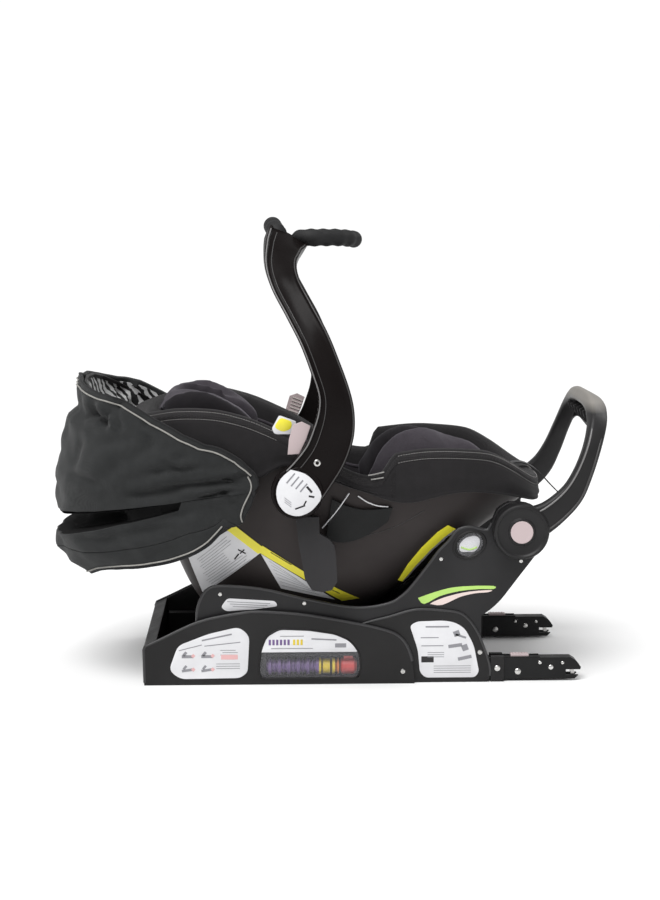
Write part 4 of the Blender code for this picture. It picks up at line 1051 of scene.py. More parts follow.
# Creases on the near side and its mirror: x, z, x, z, half width, depth
CREASES = [(-328, 381, -302, 409, 7, 5), (-344, 395, -322, 377, 7, 6), (-363, 391, -342, 395, 7, 6),
           (-306, 395, -303, 371, 7, 4), (-210, 338, -228, 328, 6, 2.5), (-245, 328, -217, 317, 6, 2.5),
           (-259, 314, -189, 320, 6, 3), (-234, 293, -136, 300, 7, 5), (-288, 278, -220, 289, 8, 4.5),
           (-189, 277, -147, 288, 5, 4.5), (-158, 288, -144, 267, 5, 3.5), (-272, 388, -259, 346, 8, 2.5),
           (-363, 353, -376, 318, 9, 3), (-336, 294, -385, 304, 9, 3), (-342, 409, -348, 381, 7, 3),
           (-154, 302, -126, 311, 5, 3), (-328, 353, -280, 360, 10, 2.5), (-300, 330, -330, 300, 12, 2.5),
           (-255, 352, -290, 330, 11, 2.5), (-180, 310, -230, 305, 7, 2.5), (-200, 258, -250, 246, 8, 2.5),
           (-230, 236, -300, 222, 10, 2.5), (-340, 246, -300, 238, 9, 2.5), (-310, 214, -360, 212, 9, 2.5)]


def canopy_section(start_r):
    """(y, radius, and the two parts of the normal) along the canopy's section from hub to hub, evenly spaced."""
    half, high = CANOPY_HALF + CLOTH_EASE_Y, CANOPY_RADIUS + CLOTH_EASE_R
    path = [(-half, start_r)]
    for k in range(241):
        c, s = superellipse(math.pi * (0.04 + 0.92 * k / 240), 3.0)
        path.append((-half * c, high * s))
    path.append((half, start_r))
    spots = resample(path, 7.6)
    out = []
    for i, p in enumerate(spots):
        a, b = spots[max(i - 1, 0)], spots[min(i + 1, len(spots) - 1)]
        t = (b - a).normalized()
        out.append((p.x, p.y, -t.y, t.x))
    return out


def crease_depth(x, z):
    """How far the creases draw the cloth in at a place on the canopy's side."""
    total = 0.0
    for x0, z0, x1, z1, width, depth in CREASES:
        run = (x1 - x0, z1 - z0)
        length = math.hypot(*run)
        t = ((x - x0) * run[0] + (z - z0) * run[1]) / length ** 2
        if not -0.5 < t < 1.5:
            continue
        off = abs((x - x0) * run[1] - (z - z0) * run[0]) / length
        if off > 4 * width:
            continue
        fade = smooth_step(-0.3, 0.25, t) * (1 - smooth_step(0.75, 1.3, t))
        near = math.exp(-(off / (0.7 * width)) ** 2)
        total += 1.7 * depth * fade * (near - 0.4 * math.exp(-((off - 1.7 * width) / width) ** 2))
    return total


def canopy_spot(place, angle, inset):
    """A point of the canopy's cloth at an angle, drawn in by inset, with its swells, folds and creases."""
    y, r, ny, nr = place
    weight = smooth_step(0.66, 0.97, r / CANOPY_RADIUS)
    swell = (interpolate(OUTLINE, angle) - CANOPY_RADIUS - CLOTH_EASE_R) * weight
    turn = math.radians(angle)
    x, z = CANOPY_PIVOT.x + r * math.cos(turn), CANOPY_PIVOT.z + r * math.sin(turn)
    flat = smooth_step(70, 150, abs(y))
    push = -crease_depth(x, z) * flat
    here = Vector((x, y, z))
    push += 3.4 * noise.noise(here / 46.0) * smooth_step(30, 90, r) + 1.7 * noise.noise(here / 21.0 + Vector((7, 3, 1)))
    ripple = math.sin(0.05 * y + 6.0 * noise.noise(Vector((y / 60.0, angle / 9.0, 2.0))) + angle * 0.21)
    push += (1 - flat) * 2.6 * ripple + 2.6 * math.sin(math.pi * smooth_step(149, 187, angle)) * smooth_step(60, 160, r)
    for bow in BOW_ANGLES:
        if abs(angle - bow) < 1.4:
            push, swell = max(push, 0.0), max(swell, 0.0)
    push += 3.2 * (1 - smooth_step(14, 52, r))
    away = swell + push - inset
    y, r = y + ny * away, max(r + nr * away, 0.5)
    shift = 6.0 * (1 - smooth_step(0, 40, r))
    return (CANOPY_PIVOT.x + shift + r * math.cos(turn), y, CANOPY_PIVOT.z + r * math.sin(turn))


def per_mm(r):
    """How many degrees about the pivot one millimetre of cloth takes at a radius."""
    return math.degrees(1 / max(r, HUB_RADIUS))


def deepening(r):
    """How much deeper the slot's tuck gets over the top of the canopy."""
    return 38 * smooth_step(165, 205, r)


def front_rows(r):
    """The (angle, inset) of each row of the front cloth: turned hem, panel, the slot's tuck, and on to the seam."""
    hem, fold = interpolate(FRONT_HEM, r), interpolate(FOLD, r)
    seam = interpolate(SEAM, r) if r > 50 else interpolate(REAR_HEM, r)
    step = per_mm(r)
    thin = 0.22 + 0.78 * smooth_step(30, 62, r)
    rows = [(hem + 9 * step, 6.6 * thin), (hem + 1.6 * step, 6.2 * thin), (hem - 0.8 * step, 4.6 * thin),
            (hem - 1.2 * step, 2.0 * thin), (hem - 0.3 * step, 0.2), (hem + 1.5 * step, -0.3)]
    rows += [(hem + 3 * step + (fold - hem - 4 * step) * k / 34, 0.0) for k in range(35)]
    open_share = smooth_step(94, 102, r)
    gap = (0.8 + 6.9 * math.radians(r) * open_share) * step
    depth = 1.2 + 6.5 * open_share + deepening(r)
    for across, deep in ((0.0, 0.0), (0.015, 0.06), (0.03, 0.25), (0.05, 0.6), (0.1, 0.9), (0.3, 1.0), (0.5, 1.0),
                         (0.7, 1.0), (0.9, 0.9), (0.95, 0.6), (0.97, 0.25), (0.985, 0.06), (1.0, 0.0)):
        rows.append((fold + gap * across, depth * deep))
    rows += [(fold + gap + (seam - fold - gap) * k / 11, 0.0) for k in range(1, 12)]
    rows.append((seam + (0.9 * step if r > 50 else 0.0), 1.8 if r > 50 else 0.6))
    return rows


def rear_rows(r):
    """The rows of the rear cloth, from under the seam to its turned hem."""
    seam, hem = interpolate(SEAM, r), interpolate(REAR_HEM, r)
    hem = max(hem, seam + 0.5)
    step = per_mm(r)
    rows = [(seam - 2.5 * step, 4.0), (seam + 0.2 * step, 2.6), (seam + 1.6 * step, 0.6)]
    rows += [(seam + 3 * step + (hem - seam - 4 * step) * k / 12, 0.0) for k in range(13)]
    return rows + [(hem, 0.3), (hem + 0.5 * step, 1.6), (hem, 3.2), (hem - 7 * step, 4.2)]


def sleeve_rows(r):
    """The rows of the black sleeve that joins the middle bow to the slot's lower lip, just inside the slot's tuck."""
    deep = 6.7 + deepening(r)
    return [(188.95, 2.2), (188.95, 0.5 * deep), (189.0, 0.9 * deep), (189.5, deep), (191.5, deep), (193.4, deep),
            (194.0, 0.88 * deep), (194.3, 0.6 * deep)]


def lining_rows(r):
    """The rows of the striped lining, from inside the front hem to just before the middle bow."""
    hem = interpolate(FRONT_HEM, r)
    step = per_mm(r)
    return [(hem + 5 * step + (LINING_END - hem - 5 * step) * k / 22, 8.0) for k in range(23)]


def canopy_piece(name, rows_at, start_r, thickness, finish, wide=1):
    """A cloth skin over the canopy, its columns running from one hub to the other."""
    section = [place for place in canopy_section(min(start_r, 50.0)) if place[1] > start_r - 0.01][::wide]
    columns = [[canopy_spot(place, angle, inset) for angle, inset in rows_at(place[1])] for place in section]
    grid = np.array(columns).transpose(1, 0, 2)
    return sheet_skin(name, grid, thickness, finish, None, True), grid


def hem_path(line, off, lift, start_r, step=5.0, low=0, high=1e9, side=0):
    """A path along a hem of the canopy, off it by a distance into the cloth, on one side or right over."""
    path = []
    for place in canopy_section(start_r):
        if low <= place[1] <= high and place[0] * side >= 0:
            turn = per_mm(place[1])
            path.append(canopy_spot(place, interpolate(line, place[1]) + off * turn, -lift))
    return resample(path, step)


def build_canopy():
    """Front and rear cloth with the slot's tuck, the striped lining, the bow's sleeve, hem bands and light piping."""
    front, grid = canopy_piece("canopy_front_cloth", front_rows, 3.0, 1.2, "canopy")
    columns = grid.shape[1] - 1
    front.data.materials.append(FINISH["shadow"])
    for face in front.data.polygons[TUCK_FIRST * columns:TUCK_LAST * columns]:
        face.material_index = 1
    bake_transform(front)
    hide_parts("canopy_front_panel", "canopy_mid_panel")
    rear, _ = canopy_piece("canopy_rear_cloth", rear_rows, 50.0, 1.2, "canopy")
    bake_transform(rear)
    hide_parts("canopy_rear_panel")
    lining, _ = canopy_piece("canopy_lining", lining_rows, 134.0, 0.8, "lining", wide=2)
    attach(lining, "canopy_front")
    cords = [cord_piece("canopy_piping", hem_path(FRONT_HEM, 8.6, 0.9, 24.0), 1.15, "piping", None),
             cord_piece("canopy_edge", hem_path(FRONT_HEM, 0.4, -1.2, 14.0), 2.0, "band", None)]
    for item in cords:
        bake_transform(item)
    sleeve, _ = canopy_piece("canopy_sleeve", sleeve_rows, 122.0, 0.6, "shadow")
    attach(sleeve, "canopy_mid")
    cords.append(sleeve)
    tucks = []
    for stem, off, lift, radius, finish in (("piping", -5.0, 0.9, 1.05, "piping"), ("edge", 0.0, -0.6, 1.5, "band")):
        path = hem_path(REAR_HEM, off, lift, 60.0)
        tucks.append(cord_piece("canopy_rear_" + stem, path, radius, finish, None))
        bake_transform(tucks[-1])
    for name, side in SIDES:
        edge = cord_piece("canopy_tongue_edge_" + name, hem_path(REAR_HEM, 0.0, -0.6, 5.0, 3.0, 5.0, 59.0, side), 1.5,
                          "band", None)
        line = []
        for x, z in TONGUE_PIPING:
            across, up = x - CANOPY_PIVOT.x, z - CANOPY_PIVOT.z
            place = (side * (CANOPY_HALF + CLOTH_EASE_Y), math.hypot(across, up), side, 0)
            skin = canopy_spot(place, math.degrees(math.atan2(up, across)) % 360, -0.7)
            line.append((x, skin[1], z))
        tongue = cord_piece("canopy_tongue_piping_" + name, resample(spline(line, 5), 3.0), 1.1, "piping", None)
        for item in (edge, tongue):
            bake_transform(item)
            cords.append(item)


build_canopy()


# ---------------------------------------------------------------- handle and stabiliser bar

HANDLE_ARM = [(-53, 213.5, 288, 70), (-32, 213.5, 314, 64), (-14, 213.5, 341, 61), (-3, 213.5, 371, 59),
              (1, 213.5, 400, 52), (-2, 213, 428, 45), (-14, 209, 464, 43), (-29, 198, 502, 42),
              (-49, 175, 540, 41), (-67, 143, 574, 42), (-74, 110, 600, 46), (-71, 78, 622, 54),
              (-64, 46, 638, 64)]
BAR_ARCH = [(283, 161, 232, 50), (311, 161, 247, 40), (340, 157, 273, 34), (357, 153, 303, 28),
            (371, 146, 340, 25), (381, 126, 372, 26), (385, 92, 390, 28), (386, 48, 397, 29), (386, 0, 398, 30)]
BAR_LEAN = 62.0
REAR_GRIP = [(-74, 70, 640), (-82, 40, 650), (-85, 0, 655)]
FRONT_GRIP = [(-60, 70, 637), (-26, 52, 638), (12, 36, 638), (32, 14, 636), (35, 0, 635)]


def railed(width, thickness):
    """The section of a moulded arm: a bead along each edge of the outer face, a crown between, a plain inner face."""
    a, b = width / 2, thickness / 2
    half = [(-a + 1.4, -b), (-a + 0.4, -b + 1.0), (-a, 0), (-a, b - 2.6), (-a + 0.5, b - 1.0), (-a + 1.7, b - 0.15),
            (-a + 3.2, b - 0.1), (-a + 4.6, b - 0.9), (-a + 5.4, b - 2.2), (-a + 7.0, b - 2.6)]
    crown = [(-a + 7.0 + (2 * a - 14) * k / 8, b - 2.6 + 1.9 * math.sin(math.pi * k / 8)) for k in range(1, 8)]
    under = [(a - 2.6 - (2 * a - 5.2) * k / 5, -b + (1.6 if 0 < k < 5 else 0.0)) for k in range(6)]
    return half + crown + [(-u, v) for u, v in reversed(half)] + under


def arm_depth(z):
    """How deep a handle arm is at a height: it swells where it reaches the grips."""
    return 15 + 7 * smooth_step(560, 630, z)


def clip(item, y, keep_above):
    """Cut a closed mesh square to Y and close the cut."""
    bm = bmesh.new()
    bm.from_mesh(item.data)
    cut = bmesh.ops.bisect_plane(bm, geom=bm.verts[:] + bm.edges[:] + bm.faces[:], plane_co=(0, y * MM, 0),
                                 plane_no=(0, 1, 0), clear_inner=keep_above, clear_outer=not keep_above)
    edges = [e for e in cut["geom_cut"] if isinstance(e, bmesh.types.BMEdge)]
    bmesh.ops.holes_fill(bm, edges=edges)
    bmesh.ops.recalc_face_normals(bm, faces=bm.faces[:])
    bm.to_mesh(item.data)
    bm.free()
    return item


def swept(name, path, section_at, across, finish, body, sharp):
    """A section, given as (width, thickness) offsets, swept along a path of (x, y, z, width)."""
    rows = []
    for i, (x, y, z, width) in enumerate(path):
        tangent = heading(path, i)
        wide = square_to(tangent, across(tangent))
        thick = tangent.cross(wide)
        rows.append([Vector((x, y, z)) + wide * u + thick * v for u, v in section_at(width, z)])
    return loft(name, rows, finish, body, sharp)


def build_handle():
    """Railed arms with hubs and generic labels, the cover's tag beside them, the buttons' ridges and both grips."""
    path = spline(HANDLE_ARM, 8)
    for name, side in SIDES:
        points = [(x, side * y, z, w) for x, y, z, w in path]

        def section_at(width, z, turn=side):
            """The arm's section, its beaded face turned outwards."""
            return [(u * turn, v * turn) for u, v in railed(width, arm_depth(z))]
        arm = swept("handle_arm_shown_" + name, points, section_at, lambda t: Vector((t.z, 0, -t.x)), "gloss", "handle",
                    42.0)
        clip(arm, side * 56, side > 0)
        # Beads along the arm: the left one in the light grey finish, the right and inner ones in dim grey, painted
        # highlights along the rounded edges.
        for stem, edge, finish, radius in (("left", 1.0, "bright", 1.0), ("right", -1.0, "dim", 0.9),
                                           ("inner", 0.62, "dim", 0.7)):
            line = []
            for i in range(4, len(points) - 4):
                x, y, z, w = points[i]
                along = heading(points, i)
                wide = square_to(along, Vector((along.z, 0, -along.x)))
                thick = along.cross(wide)
                lift = arm_depth(z) / 2 + (0.1 if abs(edge) == 1 else -1.5)
                line.append(Vector((x, y, z)) - wide * edge * (w / 2 - 2.4) + thick * lift * side)
            cord_piece("handle_bead_%s_%s" % (stem, name), resample(line, 4.0), radius, finish, "handle")
        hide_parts("handle_arm_" + name)
        rim = [(206, 35.5), (207, 36.8), (217.8, 36.8), (219.6, 36.2), (220.7, 34.8), (220.8, 33.6), (220.0, 32.2),
               (218.8, 31.4), (218.4, 29), (218.6, 0.1)]
        turned("handle_hub_" + name, rim, HANDLE_PIVOT, side, 64, "gloss", "handle")
        label = [(-62, 321), (-42, 315), (-28, 302), (-19, 283), (-30, 266), (-42, 258), (-55, 255.5), (-70, 261),
                 (-80, 275), (-82, 292), (-76, 308)]
        shape = spline(label + label[:1], 3)[:-1]
        plate("label_hub_" + name, shape, side, HUB_FACE - 0.8, HUB_FACE + 0.3, "white", "handle")
        bars = [(-62 + 6 * k, 309 - 4.5 * k, 2.0, 18 - k, -40) for k in range(4)]
        bars += [(-66, 272 + 3.0 * k, 12, 0.8, -38) for k in range(3)]
        slabs("print_hub_" + name, bars, side, HUB_FACE, HUB_FACE + 0.5, "ink", "handle")
        slabs("print_hub_dark_" + name, [(-36, 293, 11, 3.2, -50), (-33, 283, 8, 2.6, -10), (-49, 268, 15, 2.2, 20),
                                         (-42, 274, 7, 2.0, 60)], side, HUB_FACE, HUB_FACE + 0.5, "charcoal", "handle")
        screws("screws_handle_" + name, [(-25, 330)], side, 219.0, "handle", 5.2)
    tag = [(-77.7, 393), (-88, 374), (-84, 366), (-60, 366), (-53, 384)]
    plate("cover_tag", rounded(tag, 3), -1, 180.9, 181.7, "white", "carrier")
    plate("cover_tag_patch", rounded([(-76, 390), (-85, 376), (-73, 369), (-61, 373), (-59, 384)], 5), -1, 181.6, 182.1,
          "yellow", "carrier")
    for name, side in SIDES:
        low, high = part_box("handle_button_" + name)
        inner = min(abs(low[1]), abs(high[1])) / MM
        ridges = []
        for k in range(5):
            a, b = between((-59, 359), (-53, 380), k / 4), between((-44, 354), (-38, 374), k / 4)
            ridges.append(tube_rows([(p.x, side * inner, p.y) for p in (a, a.lerp(b, 0.5), b)], 1.3, 8))
        many("button_ridges_" + name, ridges, "pale", "handle_button_" + name, 50.0)
    for stem, half, radius in (("rear_grip", REAR_GRIP, 13.5), ("front_grip", FRONT_GRIP, 12.5)):
        line = spline(half + [(x, -y, z) for x, y, z in reversed(half[:-1])], 14)
        line = resample(line, 2.4)
        sizes = [radius - 0.7 + 0.7 * math.cos(2 * math.pi * i * 2.4 / 19.0) for i in range(len(line))]
        grip = cord_piece(stem + "_shown", line, sizes, "rubber", "handle", 32)
        clip(clip(grip, 55.6, False), -55.6, True)
        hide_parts(stem)


def web_depth(y):
    """How far the web under the crosspiece reaches down."""
    return 12 + 34 * (1 - (y / 138) ** 2)


def build_bar():
    """The stabiliser bar: hubs, ribbed legs with bright rails, and a pale crossbar."""
    half = spline(BAR_ARCH, 8)
    path = half + [(x, -y, z, w) for x, y, z, w in reversed(half[:-1])]
    turn = math.radians(BAR_LEAN)
    lean = Vector((-math.sin(turn), 0, math.cos(turn)))

    def section_at(width, _):
        """The leg's section: a box with rounded corners."""
        a, b = width / 2, 10.5
        out = []
        corner = 5.5
        for u, v in ((-1, -1), (1, -1), (1, 1), (-1, 1)):
            for k in range(5):
                t = math.pi / 2 * k / 4
                if (u, v) in ((1, 1), (-1, -1)):
                    dx, dy = (math.cos(t), math.sin(t)) if u > 0 else (-math.cos(t), -math.sin(t))
                else:
                    dx, dy = (math.sin(t), -math.cos(t)) if u > 0 else (-math.sin(t), math.cos(t))
                out.append((u * (a - corner) + dx * corner, v * (b - corner) + dy * corner))
        return out
    bar = swept("stabiliser_bar_shown", path, section_at, lambda t: lean, "bar", "stabiliser_bar", 40.0)
    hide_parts("stabiliser_bar")
    web = []
    for x, y, z, w in path:
        if abs(y) < 138:
            depth = web_depth(y)
            web.append([(x + 5, y, z - 6), (x + 8, y, z - 8), (x + 8, y, z - depth), (x + 5, y, z - depth)])
    loft("bar_web", web, "bar", "stabiliser_bar", 30.0)
    for k in range(7):
        y = -84 + 28 * k
        low = 403 - 9 * (y / 92) ** 2 - web_depth(y)
        rib = [(371, 384), (374, 374), (384, low + 6), (391, low), (391, 380), (382, 388)]
        plate("bar_rib_%d" % k, rib, 1, y - 1.5, y + 1.5, "bar", "stabiliser_bar")
    for name, side in SIDES:
        profile = [(150.6, 33), (150.6, 38.6), (152.4, 39.8), (173.4, 39.8), (175.6, 38.8), (176.7, 37), (176.8, 35.4),
                   (175.4, 34.2), (174.4, 32.4), (174.2, 20.2), (175.4, 19.4), (176.4, 18.6), (176.4, 16.9),
                   (162.6, 16.7), (162.6, 10.4), (150.6, 10.3)]
        turned("bar_hub_" + name, profile, BAR_PIVOT, side, 64, "bar", "stabiliser_bar", True)
        # Rails along the legs: the upper in light grey, the lower in dim grey, painted highlights along the legs'
        # edges.
        for stem, at, finish in (("upper", 1, "bright"), ("lower", -1, "dim")):
            line = []
            for x, y, z, w in half:
                if 285 < x and z < 372:
                    line.append(Vector((x, side * (y + 10.6), z)) + lean * (w / 2 - 4.5) * at)
            cord_piece("bar_rail_%s_%s" % (stem, name), resample(line, 5.0), 1.3, finish, "stabiliser_bar")
        screws("screws_bar_" + name, [(270.5, 177)], side, CRADLE_FACE, "carriage", 3.0)


def build_panels():
    """The trim panels on the shell's sides, with their lips, white piping and a seam line."""
    for name, side in SIDES:
        grid = []
        for k in range(25):
            a = rim_angle(PANEL_START + (PANEL_END - PANEL_START) * k / 24, side)
            low = 0.57 + 0.16 * (k / 24) ** 2
            grid.append([tuple(bowl_point(a, low + (0.83 - low) * m / 14, -3.6)) for m in range(15)])
        panel = sheet_skin("side_panel_shown_" + name, grid, 3.2, "texture", "carrier", flip=side < 0)
        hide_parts("side_panel_" + name)
        edge = [Vector(row[0]) for row in grid] + [Vector(p) for p in grid[-1]]
        cord_piece("panel_lip_" + name, resample(edge, 4.0), 1.1, "charcoal", "carrier")
        for stem, line, off, radius, finish in (
                ("piping", [(-16, 230), (-9, 239), (1.5, 252), (12, 267), (21.5, 282)], 6.4, 1.0, "white"),
                ("crescent", [(34, 277), (37, 275), (48, 267.5), (62.5, 262), (77, 260.4)], 4.4, 0.9, "white"),
                ("seam", [(1.5, 215.5), (37, 214), (73, 222), (101, 233.7), (130, 251)], 0.1, 0.45, "dim")):
            spots = [tuple(on_shell(shell_tree, x, z, side, off)) for x, z in spline(line, 6)]
            cord_piece("panel_%s_%s" % (stem, name), spots, radius, finish, "carrier")


build_handle()
build_bar()
build_panels()
build_shell_labels(shell_tree)


# ---------------------------------------------------------------- seat cover, insert and harness

MESH_ROWS = range(13, 18)
HEAD_DOME = [(-262, 392), (-256, 401), (-240, 416), (-222, 424), (-202, 428), (-182, 426), (-165, 420), (-148, 411),
             (-135, 402), (-120, 389), (-106, 374)]


def roll_height(x, far=False):
    """How far the cover stands above the shell's rim."""
    return 10 + 30 * (smooth_step(66, 80, x) if far else smooth_step(62, 92, x)) - 22 * smooth_step(215, 303, x)


def hem_depth(x):
    """How far the cover's hem hangs below the shell's rim."""
    return interpolate(RIM_SMOOTH, x) - interpolate(HEM_SMOOTH, x)


def back_point(distance, off):
    """A point on the reclined back in the middle plane: distance down from the head end, off its surface."""
    top, low = liner_point(math.pi, 1.0), liner_point(math.pi, 0.0)
    run = Vector((low.x - top.x, 0, low.z - top.z)).normalized()
    return Vector((top.x, 0, top.z)) + run * distance + Vector((-run.z, 0, run.x)) * off


def cover_profile(angle):
    """The cover's outer surface at an angle of the rim, from the hem up over the roll and down to the seat."""
    x = rim_point(angle).x
    roll, hem = roll_height(x, math.sin(angle) > 0), hem_depth(x)
    thick = smooth_step(66, 96, x)
    low = roll - (11.0 + 1.0 * (1 - thick))
    tight = min(1.0, hem / 34.0)
    first, last = -hem + 8.0 * tight, max(low - 6.0, -hem + 9.0 * tight)
    steps = [(2.0, -hem + 2.5 * tight), (4.4, -hem - 0.2), (6.4, -hem + 0.8 * tight), (6.9, -hem + 3.0 * tight),
             (6.3, -hem + 5.5 * tight), (5.6, first)]
    steps += [(5.6 + 2.6 * math.sin(math.pi * t) ** 0.8, first + (last - first) * t) for t in (0.2, 0.4, 0.6, 0.8)]
    steps += [(7.0, last), (6.6, low - 2.4), (5.3, low - 0.6), (5.2, low + 0.6), (6.3, low + 2.2),
              (6.2, roll - 5.5), (5.0, roll - 3.0), (3.6, roll - 1.9), (3.0, roll - 1.2), (2.2, roll + 0.4),
              (-1.0, roll + 2.2), (-4.5, roll + 2.4), (-9.0, roll + 1.2), (-14.0, roll * 0.92), (-19.0, roll * 0.72)]
    return roll, low, steps


def cover_at(angle, out, up):
    """A point outside and above the rim at an angle."""
    spot = rim_point(angle, out)
    return Vector((spot.x, spot.y, spot.z + up))


def wrinkled(point, normal, size, scale, seed=0.0):
    """A point moved along its normal by soft uneven folds."""
    here = Vector(point) / scale + Vector((seed, 0, -seed))
    return Vector(point) + Vector(normal) * size * (noise.noise(here) + 0.5 * noise.noise(here * 2.3))


def row_path(turns, low_row):
    """The path of one row of stitches round the cover."""
    path = []
    for a in turns:
        roll, low, _ = cover_profile(a)
        path.append(cover_at(a, 6.0, low) if low_row else cover_at(a, 4.4, roll - 1.4))
    return path


def build_cover():
    """The fitted cover: skirt with a rolled hem, a seamed band over the rim, and the liner down to the seat."""
    turns = even_angles(240)
    outer = []
    for a in turns:
        column = [cover_at(a, out, up) for out, up in cover_profile(a)[2]]
        column += [liner_point(a, h) for h in (1.0, 0.93, 0.84, 0.74, 0.64, 0.54, 0.44, 0.34, 0.25, 0.17, 0.1, 0.05,
                                               0.0)]
        column.append(Vector((LINER_CENTRE_X, 0, LINER_Z)).lerp(liner_point(a, 0.0), 0.5))
        outer.append(column)
    grid = np.array([[tuple(p) for p in column] for column in outer]).transpose(1, 0, 2)
    normal = grid_normals(grid, True)
    middle = grid[12].mean(axis=0)
    if ((grid[8] - middle) * normal[8]).sum() < 0:
        normal = -normal
    for i in range(grid.shape[0] - 1):
        size = 2.6 if i > 24 else (1.5 if 5 < i < 10 else 0.35)
        for k in range(grid.shape[1]):
            grid[i, k] = wrinkled(grid[i, k], normal[i, k], size, 34.0)
    under = [[bowl_point(a, 1.0, WALL + 0.3) + Vector((0, 0, 0.3)) for a in turns],
             [cover_at(a, 0.3, 0.3) for a in turns], [cover_at(a, 0.3, 0.0) for a in turns],
             [cover_at(a, 0.3, -0.5 * hem_depth(rim_point(a).x)) for a in turns],
             [cover_at(a, 0.3, 1.5 - hem_depth(rim_point(a).x)) for a in turns]]
    inside = [[bowl_point(a, h, WALL + 0.6) for a in turns] for h in (0.0, 0.1, 0.22, 0.4, 0.62, 0.84)]
    rows = [[Vector(p) for p in row] for row in grid][::-1] + under[::-1] + inside[::-1]
    cover = loft("seat_cover_shown", rows, "cover", "carrier", 60.0)
    cover.data.materials.append(FINISH["mesh"])
    count, total = len(turns), grid.shape[0]
    for face in cover.data.polygons:
        row = total - 1 - face.vertices[0] // count
        if row in MESH_ROWS and face.index < total * count:
            face.material_index = 1
    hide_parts("seat_cover")
    sewn = []
    for low_row in (False, True):
        row = row_path(turns, low_row)
        run = []
        for a, spot in zip(turns + turns[:1], row + row[:1]):
            if -75 < spot.x < 90:
                sewn.append(run)
                run = []
            else:
                run.append(spot)
        sewn.append(run)
    stitches("cover_stitches", [run for run in sewn if len(run) > 3], 3.8, 0.42)
    for name, side in SIDES:
        paths = []
        for x in (79.0, 83.5):
            angle = rim_angle(x, side)
            steps = cover_profile(angle)[2]
            paths.append([cover_at(angle, out + 0.6, up) for out, up in steps[5:12]])
        stitches("cover_seam_" + name, paths, 4.4, 0.5, "cover")
        bars = [[on_cover(x, z - (7 if side > 0 else 0), side) for x, z in line] for line in (
            [(48, 306.5), (58, 308), (71, 311)], [(52, 300.5), (60, 301.5), (70, 303)])]
        many("cover_tacks_" + name, [tube_rows(resample(bar, 3.0), 0.9, 8) for bar in bars], "thread", "carrier", 60.0)


def on_cover(x, z, side):
    """A place on the cover's outer side near x and z."""
    return Vector((x, rim_point(rim_angle(x, side, 6), 7.6).y, z))


def build_insert():
    """The quilted infant insert that lines the seat and the back."""
    turns = even_angles(200)
    heights = [0.9, 0.86, 0.8, 0.74, 0.68, 0.62, 0.56, 0.5, 0.44, 0.38, 0.32, 0.26, 0.2, 0.15, 0.1, 0.06, 0.03, 0.0]
    top = []
    for i, h in enumerate(heights):
        row = []
        for a in turns:
            u, v = a * 14.0 / math.pi, h * 13.0
            seam = min(abs(math.sin(math.pi * (u + v))), abs(math.sin(math.pi * (u - v))))
            puff = 2.6 * smooth_step(0.0, 0.55, seam) if 0 < i < len(heights) - 1 else 0.0
            row.append(liner_point(a, h, (3.0 if i == 0 else 5.5) + puff))
        top.append(row)
    middle = Vector((LINER_CENTRE_X, 0, LINER_Z))
    for share in (0.35, 0.7, 0.97):
        top.append([p.lerp(middle + Vector((0, 0, 6)), share) for p in top[len(heights) - 1]])
    under = [[p - Vector((0, 0, 4.8)) for p in row] for row in reversed(top[len(heights):])]
    under += [[liner_point(a, h, 0.8) for a in turns] for h in reversed(heights)]
    # The quilt takes the darker copy of the plush, painted shade down in the seat; its binding takes the lighter one.
    item = loft("insert_quilt", top + under, "violet_dark", "carrier", 70.0, ring=True)
    cord_piece("insert_binding", resample([liner_point(a, 0.9, 3.6) for a in turns], 5.0, True), 2.6, "violet",
               "carrier", 10, True)


def stuff(item, voxel, pressure, most, stiffness=0.4, smoothing=6):
    """Stuff a closed piece: an even mesh, a short cloth run with pressure inside, and one smoothing step."""
    view = bpy.context.view_layer
    view.objects.active = item
    item.select_set(True)
    even = item.modifiers.new("even", "REMESH")
    even.mode = "VOXEL"
    even.voxel_size = voxel * MM
    bpy.ops.object.modifier_apply(modifier="even")
    soft = item.modifiers.new("soft", "SMOOTH")
    soft.factor, soft.iterations = 0.5, smoothing
    bpy.ops.object.modifier_apply(modifier="soft")
    before = np.array([v.co for v in item.data.vertices])
    cloth_run = item.modifiers.new("stuffing", "CLOTH")
    cloth_run.settings.use_pressure = True
    cloth_run.settings.uniform_pressure_force = pressure
    cloth_run.settings.effector_weights.gravity = 0.0
    cloth_run.settings.bending_stiffness = stiffness
    cloth_run.point_cache.frame_start, cloth_run.point_cache.frame_end = 1, 20
    scene = bpy.context.scene
    for f in range(1, 21):
        scene.frame_set(f)
    shown = item.evaluated_get(bpy.context.evaluated_depsgraph_get())
    after = np.array([v.co for v in shown.data.vertices])
    item.modifiers.remove(cloth_run)
    scene.frame_set(1)
    move = after - before
    size = np.linalg.norm(move, axis=1, keepdims=True)
    move *= np.minimum(1.0, most * MM / np.maximum(size, 1e-9))
    for v, p in zip(item.data.vertices, before + move):
        v.co = p
    fine = item.modifiers.new("fine", "SUBSURF")
    fine.levels = fine.render_levels = 1
    bpy.ops.object.modifier_apply(modifier="fine")
    item.data.shade_smooth()
    item.select_set(False)
    return item


